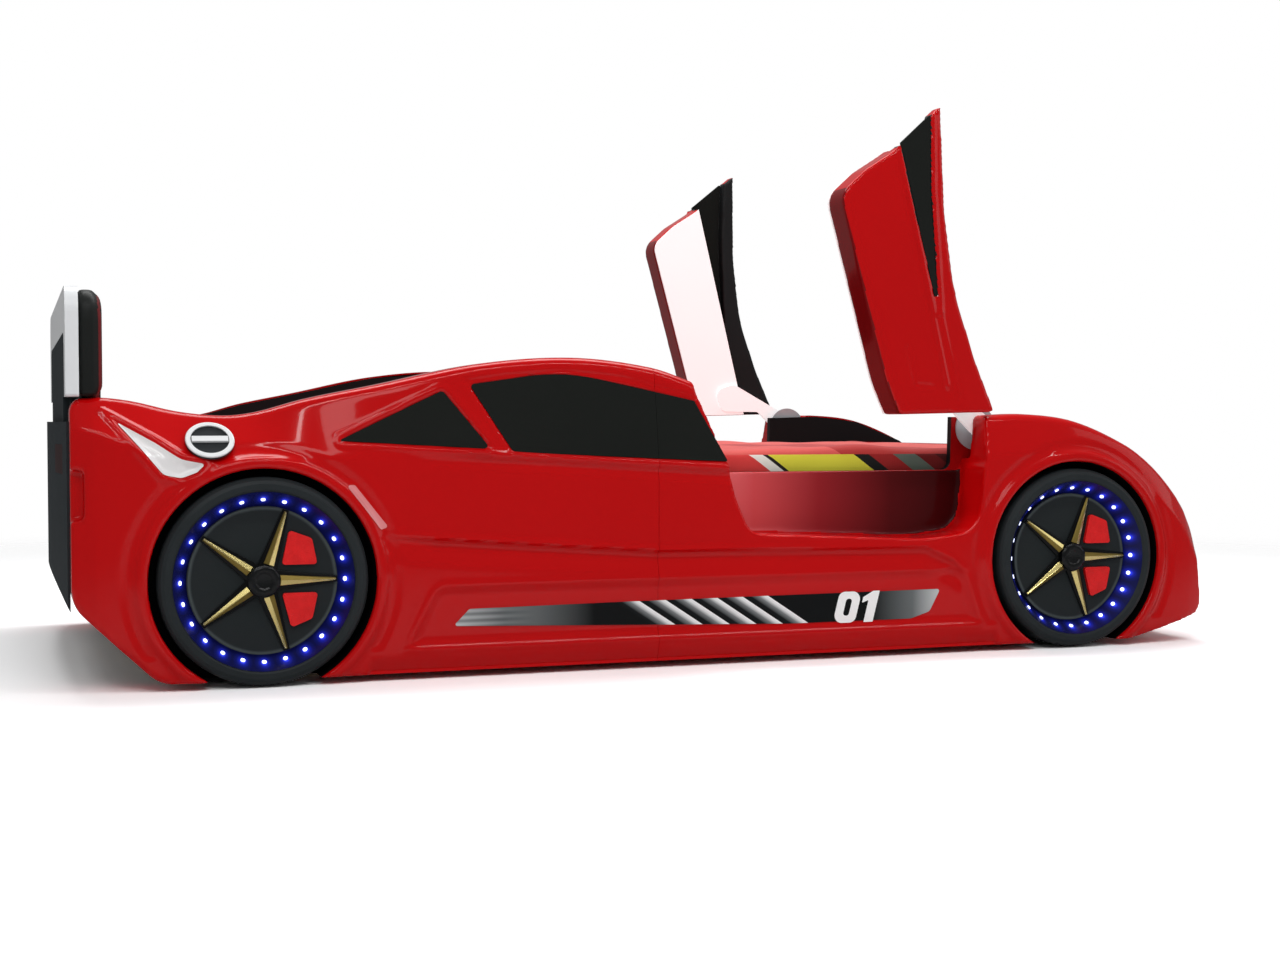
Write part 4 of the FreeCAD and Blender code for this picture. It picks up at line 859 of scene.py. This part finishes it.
def light_band():
    """Tinted diffuser acrylic: dark navy, lit blue round each of the beads by the light inside it."""
    made, tree, coords = material("navy_diffuser_acrylic", "#0A0D38", 0.25, 0.2, Emission_Strength=0.6)
    x, z, r = wheel_places(tree, coords)
    bead_r = (TYRE_BORE + DISC_R) / 2 * MM
    pitch = 2 * math.pi * bead_r / BEADS
    angle = add(tree, "Math", (z, x), operation="ARCTAN2")
    turn = add(tree, "Math", (angle, BEADS / 2 / math.pi, BEADS + 0.5), operation="MULTIPLY_ADD")
    share = add(tree, "Math", (turn,), operation="FRACT")
    along = add(tree, "Math", (share, pitch, -pitch / 2), operation="MULTIPLY_ADD")
    # the band slopes, so a step across it shows shorter than it is
    slope = 1.3
    across = add(tree, "Math", (r, slope, -slope * bead_r), operation="MULTIPLY_ADD")
    apart = add(tree, "VectorMath", (add(tree, "CombineXYZ", (along, across)),), operation="LENGTH")
    glow = add(tree, "MapRange", {"Value": apart.outputs["Value"], "From Min": 0.018, "From Max": 0.003})
    lit = stops(add(tree, "ValToRGB", (glow,)), (0, "#0A0D3A"), (0.4, "#0D1252"), (0.75, "#141C8C"),
                (1, "#2D3CE0"))
    tree.links.new(lit, tree.nodes["Principled BSDF"].inputs["Emission Color"])
    return finished(made, lit, coords, 500.0, 0.05, 0.0003)


def wheel_face():
    """Charcoal ABS with a fine moulded grain, slightly darker towards the hub; the lighter ring at its edge
    next to the band is a painted highlight.
    """
    made, tree, coords = material("charcoal_grained_abs", "#222728", 0.5, 0.1)
    _, _, r = wheel_places(tree, coords)
    noise = add(tree, "TexNoise", {"Vector": coords, "Scale": 16.0, "Detail": 3.0})
    drift = add(tree, "Math", (noise, 0.004, r), operation="MULTIPLY_ADD")
    share = add(tree, "MapRange", {"Value": drift, "From Max": DISC_R * MM + 0.002})
    # the light step just inside the disc's rim is a painted highlight
    edge_highlight = stops(add(tree, "ValToRGB", (share,)), (0, "#1B1F20"), (0.45, "#222728"), (0.94, "#25292A"),
                 (0.975, "#4A5150"), (1, "#2A2F30"))
    return finished(made, edge_highlight, coords, 900.0, 0.2, 0.0002)


def fuel_finish():
    """Satin white ABS, dark wherever it lies low along the filler's own axis: the dish in the middle, and the
    foot of the flange's outer side, whose dark is painted shade.
    """
    made, tree, coords = material("white_abs_darker_below", "#E2E4E6", 0.28, 0.3)
    lean = math.radians(FUEL_LEAN)
    base = (FUEL_SEAT[0] * math.sin(lean) + FUEL_SEAT[1] * math.cos(lean)) * MM
    _, y, z = add(tree, "SeparateXYZ", (coords,)).outputs
    out = add(tree, "Math", (y,), operation="ABSOLUTE")
    part = add(tree, "Math", (out, math.sin(lean), -base), operation="MULTIPLY_ADD")
    height = add(tree, "Math", (z, math.cos(lean), part), operation="MULTIPLY_ADD")
    share = add(tree, "MapRange", {"Value": height, "From Max": 0.012})
    # all that lies low is dark: the dish in the middle, and the flange's foot as painted shade
    darker_below = stops(add(tree, "ValToRGB", (share,)), (0, "#3A3E41"), (0.4, "#1E2123"), (0.55, "#2C3033"),
                   (0.64, "#B9BCBE"), (0.8, "#E6E8E9"))
    return finished(made, darker_below, coords, 700.0, 0.05, 0.0002)


def stripe_print():
    """Vinyl plate: black with slanted shaded bars, silver ends and fine rules at its rear."""
    made, tree, coords = material("screen_printed_vinyl", "#0E1011", 0.22, 0.08)
    lean, first, pitch, bars = 1.53, 0.0175, 0.053, 6       # the bars' lean across for 1 up; in metres
    x, _, z = add(tree, "SeparateXYZ", (coords,)).outputs
    slant = add(tree, "Math", (z, lean, x), operation="MULTIPLY_ADD")
    # 100 whole steps more keep the count above zero, where FRACT counts upward
    count = add(tree, "Math", (slant, 1 / pitch, 100 - first / pitch), operation="MULTIPLY_ADD")
    share = add(tree, "Math", (count,), operation="FRACT")
    bar = stops(add(tree, "ValToRGB", (share,)), (0, "#0E1011"), (0.25, "#15181A"), (0.55, "#7D8183"),
                (0.75, "#E4E6E6"), (0.93, "#FAFAFA"), (0.95, "#0E1011"))
    low = add(tree, "Math", (slant, first), operation="GREATER_THAN")
    high = add(tree, "Math", (slant, first + bars * pitch), operation="LESS_THAN")
    zone = add(tree, "Math", (low, high), operation="MULTIPLY")
    # the silver fades in over the last 150 mm at each end
    across = add(tree, "MapRange", {"Value": x, "From Min": -0.49, "From Max": 0.52})
    ends = stops(add(tree, "ValToRGB", (across,)), (0, "#C4C8C9"), (0.1, "#777C7D"), (0.27, "#0E1011"),
                 (0.84, "#0E1011"), (0.93, "#6A6F70"), (1, "#D2D5D6"))
    rules = add(tree, "TexWave", {"Vector": coords, "Scale": 26.0}, bands_direction="Z")
    rear = add(tree, "MapRange", {"Value": x, "From Min": -0.33, "From Max": -0.40, "To Max": 0.55})
    ruled = add(tree, "Math", (rules.outputs["Fac"], rear), operation="MULTIPLY")
    mixed = add(tree, "Mix", {0: ruled, 6: ends, 7: tone("#23272A")}, data_type="RGBA")
    whole = add(tree, "Mix", {0: zone, 6: mixed.outputs[2], 7: bar}, data_type="RGBA")
    return finished(made, whole.outputs[2], coords, 400.0, 0.03, 0.0002)


def pine():
    """Planed pine: growth rings about 7 mm apart drawn out along the board, with darker late wood."""
    made, tree, coords = material("planed_pine", "#CDA36C", 0.55, 0.3)
    drawn = add(tree, "Mapping", {"Vector": coords, "Scale": (6.0, 1.6, 9.0)})
    rings = add(tree, "TexWave", {"Vector": drawn, "Scale": 3.5, "Distortion": 5.0, "Detail": 3.0,
                                  "Detail Scale": 1.5}, wave_type="RINGS", rings_direction="Y").outputs["Fac"]
    grain = stops(add(tree, "ValToRGB", (rings,)), (0, "#B98649"), (0.3, "#CDA067"), (1, "#DDB87F"))
    return finished(made, grain, coords, rings, 0.2, 0.0005)


def woven(name, dark, light, thread, rough, sheen, printed=None):
    """Plain-woven cloth: threads drawn this many metres apart; printed puts a print over the dye."""
    made, tree, coords = material(name, dark, rough, 0.15, Sheen_Weight=sheen, Sheen_Roughness=0.5)
    dyed = mottle(tree, coords, dark, light, 14.0)
    # a wave texture of scale 0.314 repeats once a metre
    yarn = {"Vector": coords, "Scale": 0.314 / thread, "Distortion": 0.6, "Detail Scale": 30.0}
    weft, warp = (add(tree, "TexWave", yarn, bands_direction=way).outputs["Fac"] for way in "XY")
    cross = add(tree, "Math", (weft, warp), operation="MULTIPLY")
    paint = printed(tree, coords, dyed) if printed else dyed
    return finished(made, paint, coords, cross, 0.35, 0.0006)


def cover_print(tree, coords, dyed):
    """The cover's print: wide slanted fields on top, and a run of slanted blocks along each edge."""
    run, phase = 0.95, 0.03                 # length of one run of blocks, and where the first begins
    print_out, print_top = 0.437, 0.398     # the printed edge: beyond this from the middle, below this height
    x, y, z = add(tree, "SeparateXYZ", (coords,)).outputs
    wide = add(tree, "Math", (y,), operation="ABSOLUTE")
    slant = add(tree, "Math", (z, 1.4, x), operation="MULTIPLY_ADD")
    slant = add(tree, "Math", (wide, -0.5, slant), operation="MULTIPLY_ADD")
    count = add(tree, "Math", (slant, 1 / run, 4 + phase / run), operation="MULTIPLY_ADD")
    share = add(tree, "Math", (count,), operation="FRACT")
    blocks = stops(add(tree, "ValToRGB", (share,)), (0, "#8E1C1C"), (0.14, "#D8645E"), (0.30, "#DC5652"),
                   (0.40, "#D8403E"), (0.535, "#ECE9E0"), (0.565, "#1E1A18"), (0.575, "#DCD540"),
                   (0.775, "#121212"), (0.81, "#9A2020"), (0.87, "#5C6A60"), (0.925, "#6E1516"),
                   (0.97, "#4E0D0E"), hard=True)
    fields = add(tree, "TexWave", {"Vector": coords, "Scale": 0.55, "Distortion": 1.2},
                 bands_direction="DIAGONAL")
    field = add(tree, "Math", (fields.outputs["Fac"], 0.62), operation="GREATER_THAN")
    darker = add(tree, "Mix", {0: field, 6: dyed, 7: tone("#B53431")}, data_type="RGBA")
    edge = add(tree, "Math", (wide, print_out), operation="GREATER_THAN")
    low = add(tree, "Math", (z, print_top), operation="LESS_THAN")
    both = add(tree, "Math", (edge, low), operation="MULTIPLY")
    return add(tree, "Mix", {0: both, 6: darker.outputs[2], 7: blocks}, data_type="RGBA").outputs[2]


def side_board_finish():
    """Graphite melamine; ahead of the doorway its outer face is sprayed red, round the hinge plate."""
    made, tree, coords = material("graphite_melamine_side", "#101213", 0.42, 0.1)
    x, y, _ = add(tree, "SeparateXYZ", (coords,)).outputs
    out = add(tree, "Math", (y,), operation="ABSOLUTE")
    outer = add(tree, "Math", (out, (BOARD_OUT - 0.5) * MM), operation="GREATER_THAN")
    ahead = add(tree, "Math", (x, 0.45), operation="GREATER_THAN")
    both = add(tree, "Math", (outer, ahead), operation="MULTIPLY")
    dark = mottle(tree, coords, "#101213", "#16191A", 7.0)
    whole = add(tree, "Mix", {0: both, 6: dark, 7: tone("#9C070A")}, data_type="RGBA")
    return finished(made, whole.outputs[2], coords, 500.0, 0.08, 0.0003)


red_abs = red_lacquer("red_lacquered_abs", "#B80407", "#C20609")
# A darker copy of the red for the doors' undersides: painted shade
red_abs_painted_shade = red_lacquer("red_lacquer_painted_shade", "#6E070B", "#7C090E")
rail_painted_reflection = rail_finish()
# Painted highlights, laid on as thin lacquered pieces: a white one on the shoulder and a pale pink one over
# the arch, polished like the red
shoulder_highlight_paint = simple("white_lacquer_painted_highlight", "#E6E4E4", "#F2F1F1", 9.0, 240.0, 0.02, 0.15,
                     Coat_Weight=0.3, Coat_Roughness=0.05)
arch_highlight_paint = simple("pink_lacquer_painted_highlight", "#D9787A", "#E69294", 12.0, 240.0, 0.02, 0.15,
                    Coat_Weight=0.3, Coat_Roughness=0.05)
# Wheel wells coloured near black as painted shade, with a coarse, dull grain
arch_well_painted_shade = simple("near_black_painted_shade_in_wells", "#060606", "#0B0B0B", 30.0, 500.0, 0.3, 0.8, 0.05)
# The doors' window frames inside, in black grained ABS
sash_black = simple("black_grained_abs", "#131516", "#1C1F20", 8.0, 600.0, 0.15, 0.4, 0.2)
# Opaque screen ink, satin, with the mesh's faint print in it
number_white = simple("white_screen_ink", "#FAFAFA", "#FFFFFF", 40.0, 900.0, 0.03, 0.35)
# Spokes in black ABS; their strips vacuum plated in gold, with one flank in a darker copy of the gold as
# painted shade
star_black = simple("black_spoke_abs", "#050606", "#090A0A", 20.0, 600.0, 0.1, 0.3, 0.12)
gold_plate = simple("gold_vacuum_plated_abs", "#D3BF74", "#EADB98", 30.0, 400.0, 0.05, 0.25, Metallic=0.85)
gold_painted_shade = simple("gold_flank_painted_shade", "#6B5B2A", "#8D7A3C", 30.0, 400.0, 0.05, 0.4, Metallic=0.85)
cap_abs = simple("black_gloss_abs", "#0A0B0C", "#101213", 30.0, 500.0, 0.05, 0.22, 0.2)
# Upholstery vinyl over foam: leather-like grain about 3 mm across; piping of the same in dark red
pad_vinyl = simple("charcoal_upholstery_vinyl", "#151716", "#1F2120", 12.0, 350.0, 0.35, 0.42, 0.12, 0.0006)
piping_vinyl = simple("dark_red_piping_vinyl", "#5A1013", "#6E1518", 12.0, 350.0, 0.3, 0.4, 0.25, 0.0005)
# Cotton, plain-woven: coarse white ticking on the mattress, and a finer cover printed in reds
ticking = woven("white_mattress_ticking", "#D8D8D2", "#E4E4DF", 0.006, 0.9, 0.2)
print_cotton = woven("red_printed_cotton", "#CF4A45", "#DB5D57", 0.004, 0.85, 0.25, cover_print)
# Thermoformed polystyrene lining, plain white; its faint glow stands in for light that a studio throws back
door_hips = simple("white_polystyrene_liner", "#F4F5F6", "#FBFBFB", 8.0, 500.0, 0.05, 0.4, 0.2,
                   Emission_Color=(1, 1, 1, 1), Emission_Strength=0.32)

FINISHES = {
    "body_red": red_abs,
    # Smoked acrylic sheet, polished: near black with a faint grey drift
    "glazing_black": simple("smoked_acrylic", "#171917", "#202220", 3.0, 60.0, 0.004, 0.08, 0.1, IOR=1.49),
    "stripe_black": stripe_print(),
    "fuel_silver": fuel_finish(),
    # Moulded polyethylene tyre, matt, with a fine spark-eroded texture
    "tyre_black": simple("matt_black_polyethylene", "#202527", "#282D2F", 14.0, 700.0, 0.25, 0.5, 0.15),
    "wheel_charcoal": wheel_face(),
    "light_band_blue": light_band(),
    # Clear lenses over cold white light-emitting diodes
    "light_bead": simple("white_led_lens", "#DCE4FF", "#EFF3FF", 50.0, 900.0, 0.02, 0.2,
                         Emission_Color=tone("#DDE6FF"), Emission_Strength=1.8),
    "star_gold": gold_plate,
    "cap_black": cap_abs,
    # Calipers in red ABS with a coarse cast-like texture, blotched lighter and darker
    "caliper_red": simple("red_cast_texture_abs", "#C90508", "#F21A1C", 55.0, 300.0, 0.7, 0.4, 0.3, 0.0012),
    # Melamine-faced boards: a print under resin with a fine pearl grain
    "board_dark": simple("graphite_melamine_board", "#141617", "#1A1D1E", 7.0, 500.0, 0.08, 0.42, 0.15),
    "frame_white": simple("white_melamine_board", "#E0E2E4", "#EAECEE", 6.0, 600.0, 0.03, 0.3, 0.3),
    "headboard_grey": simple("slate_melamine_board", "#2C3134", "#34393C", 6.0, 600.0, 0.05, 0.65, 0.02),
    "timber": pine(),
    # Polyethylene glides with a moulded grain
    "foot_black": simple("black_polyethylene", "#151617", "#1B1C1E", 20.0, 500.0, 0.1, 0.5, 0.2),
    # Zinc plating: pale steel with a cloudy bright grain
    "bolt_steel": simple("zinc_plated_steel", "#A9ACAF", "#C2C5C8", 40.0, 800.0, 0.05, 0.3, Metallic=1.0),
    "pad_dark": pad_vinyl,
    # Rear and front fascias in dull grey ABS, with dark and clear acrylic lamps and a grained black grille
    "fascia_grey": simple("slate_grey_abs", "#2C3134", "#34393C", 8.0, 600.0, 0.08, 0.65, 0.02),
    "lamp_red": simple("smoked_red_lamp_acrylic", "#24090B", "#300A0C", 40.0, 300.0, 0.05, 0.5, 0.02),
    "lamp_clear": simple("clear_lamp_acrylic", "#A9AEB3", "#C6CBD0", 40.0, 300.0, 0.05, 0.1, Metallic=0.3),
    "grille_black": simple("black_grille_abs", "#0E0F10", "#151617", 20.0, 500.0, 0.1, 0.45, 0.2),
    "mattress_white": ticking,
    "bedspread_red": print_cotton,
    # Light control boxes in off-white ABS, and their harness in black PVC
    "box_white": simple("white_box_abs", "#D9D9D6", "#E3E3E0", 15.0, 500.0, 0.05, 0.45),
    "cable_black": simple("black_pvc", "#121213", "#1A1A1B", 40.0, 400.0, 0.05, 0.5, 0.2),
    "door_white": door_hips,
    # Hinge plates in light grey nylon, faintly translucent at the rim
    "hinge_steel": simple("light_grey_nylon", "#9EA2A6", "#B6BABD", 30.0, 600.0, 0.08, 0.35, 0.4),
}

for part in frame["record"]["subparts"]:
    dress(nodes[part["node"]], FINISHES[part["material_slot"]])

# ---------------------------------------------------------------- pieces
side_melamine = side_board_finish()
for hand in ("right", "left"):
    dress(nodes[f"hinge_arm_{hand}"], door_hips)
    dress(nodes[f"side_board_{hand}"], side_melamine)

sides, painted_highlight_pieces = build_sides()
for (end, hand), piece in sides.items():
    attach(piece, "bed")
    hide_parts(f"side_shell_{end}_{hand}")

# the two painted highlights, and their left-hand twins
for piece, finish in zip(painted_highlight_pieces, (shoulder_highlight_paint, arch_highlight_paint)):
    dress(piece, finish)
    twin = mirrored(piece, piece.name + "_left")
    piece.name = piece.name + "_right"
    for each in (piece, twin):
        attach(each, "bed")

stars = build_stars()
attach(stars, "bed")
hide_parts("spoke_stars")

hub_caps = build_hub_caps()
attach(hub_caps, "bed")
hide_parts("hub_caps")

for way, name in ((1, "number_right"), (-1, "number_left")):
    number = build_number(way, name)
    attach(number, "bed")

right_door = build_door()
for piece, hand in ((right_door, "right"), (mirrored(right_door, "door_left"), "left")):
    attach(piece, f"{hand}_door")
    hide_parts(f"door_shell_{hand}")

mattress = build_mattress()
dress(mattress, ticking)
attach(mattress, "bed")
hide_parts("mattress")

bedspread = build_bedspread()
dress(bedspread, print_cotton)
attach(bedspread, "bed")
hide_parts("bedspread")

cushion = build_headboard_pad()
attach(cushion, "bed")
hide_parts("headboard_pad")

# ---------------------------------------------------------------- studio
# The camera stands where it was fitted to the photograph
camera = bpy.data.objects.new("camera", bpy.data.cameras.new("camera"))
bpy.context.scene.collection.objects.link(camera)
camera.location = (-1.2395, -3.6895, 0.464)
camera.rotation_euler = (math.radians(90 - 1.92), 0, math.radians(-19.63))
camera.data.lens = 49.73
camera.data.sensor_width = 36
camera.data.clip_end = 200
bpy.context.scene.camera = camera

# A pale floor, which the camera sees as white; further off it fades out into the white world
bpy.ops.mesh.primitive_plane_add(size=60, location=(0, 0, -0.0005))
floor = named("floor")
floor_paint = bpy.data.materials.new("floor_paint")
floor_paint.use_nodes = True
ground = floor_paint.node_tree
ground.nodes.clear()
rays = add(ground, "LightPath")
tint = add(ground, "Mix", {0: rays.outputs["Is Camera Ray"], 6: tone("#E4E4E5"), 7: (1.38, 1.38, 1.39, 1)},
           data_type="RGBA")
near = add(ground, "BsdfDiffuse", {"Color": tint.outputs[2]})
clear = add(ground, "BsdfTransparent")
spot = add(ground, "TexCoord")
away = add(ground, "VectorMath", (spot.outputs["Object"],), operation="LENGTH")
fade = add(ground, "MapRange", {"From Min": 1.9, "From Max": 4.2, "Value": away.outputs["Value"]},
           interpolation_type="SMOOTHSTEP")
both = add(ground, "MixShader", (fade, near, clear))
add(ground, "OutputMaterial", {"Surface": both})
dress(floor, floor_paint)


def lamp(name, place, aim, size, power):
    """A white softbox at place, turned to aim; size in metres, power in watts."""
    light = bpy.data.lights.new(name, "AREA")
    light.shape = "RECTANGLE"
    light.size, light.size_y = size
    light.energy = power
    obj = bpy.data.objects.new(name, light)
    bpy.context.scene.collection.objects.link(obj)
    obj.location = place
    obj.rotation_euler = (Vector(aim) - Vector(place)).to_track_quat("-Z", "Y").to_euler()


lamp("top_softbox", (0.2, 0.7, 3.2), (0, 0.0, 0.2), (3.8, 1.2), 95)
lamp("front_softbox", (-1.4, -3.7, 3.0), (0, 0, 0.3), (3.0, 1.0), 40)
lamp("side_softbox", (4.2, -1.8, 1.8), (0, 0, 0.3), (2.4, 1.8), 14)
lamp("top_strip", (0.0, -1.7, 2.3), (0, -0.5, 0.4), (4.0, 0.10), 22)

# The camera sees a white world, also through clear parts; gloss and shade see a dimmer room
world = bpy.data.worlds.new("studio")
bpy.context.scene.world = world
world.use_nodes = True
sky = world.node_tree
sky.nodes.clear()
rays = add(sky, "LightPath")
seen = add(sky, "Math", (rays.outputs["Is Camera Ray"], rays.outputs["Is Transmission Ray"]),
           operation="MAXIMUM")
room = add(sky, "Background", {"Color": (1, 1, 1, 1), "Strength": 0.30})
white = add(sky, "Background", {"Color": (1, 1, 1, 1), "Strength": 1.0})
both = add(sky, "MixShader", (seen, room, white))
add(sky, "OutputWorld", {"Surface": both})
bpy.context.scene.view_settings.view_transform = "Standard"

bpy.context.view_layer.update()
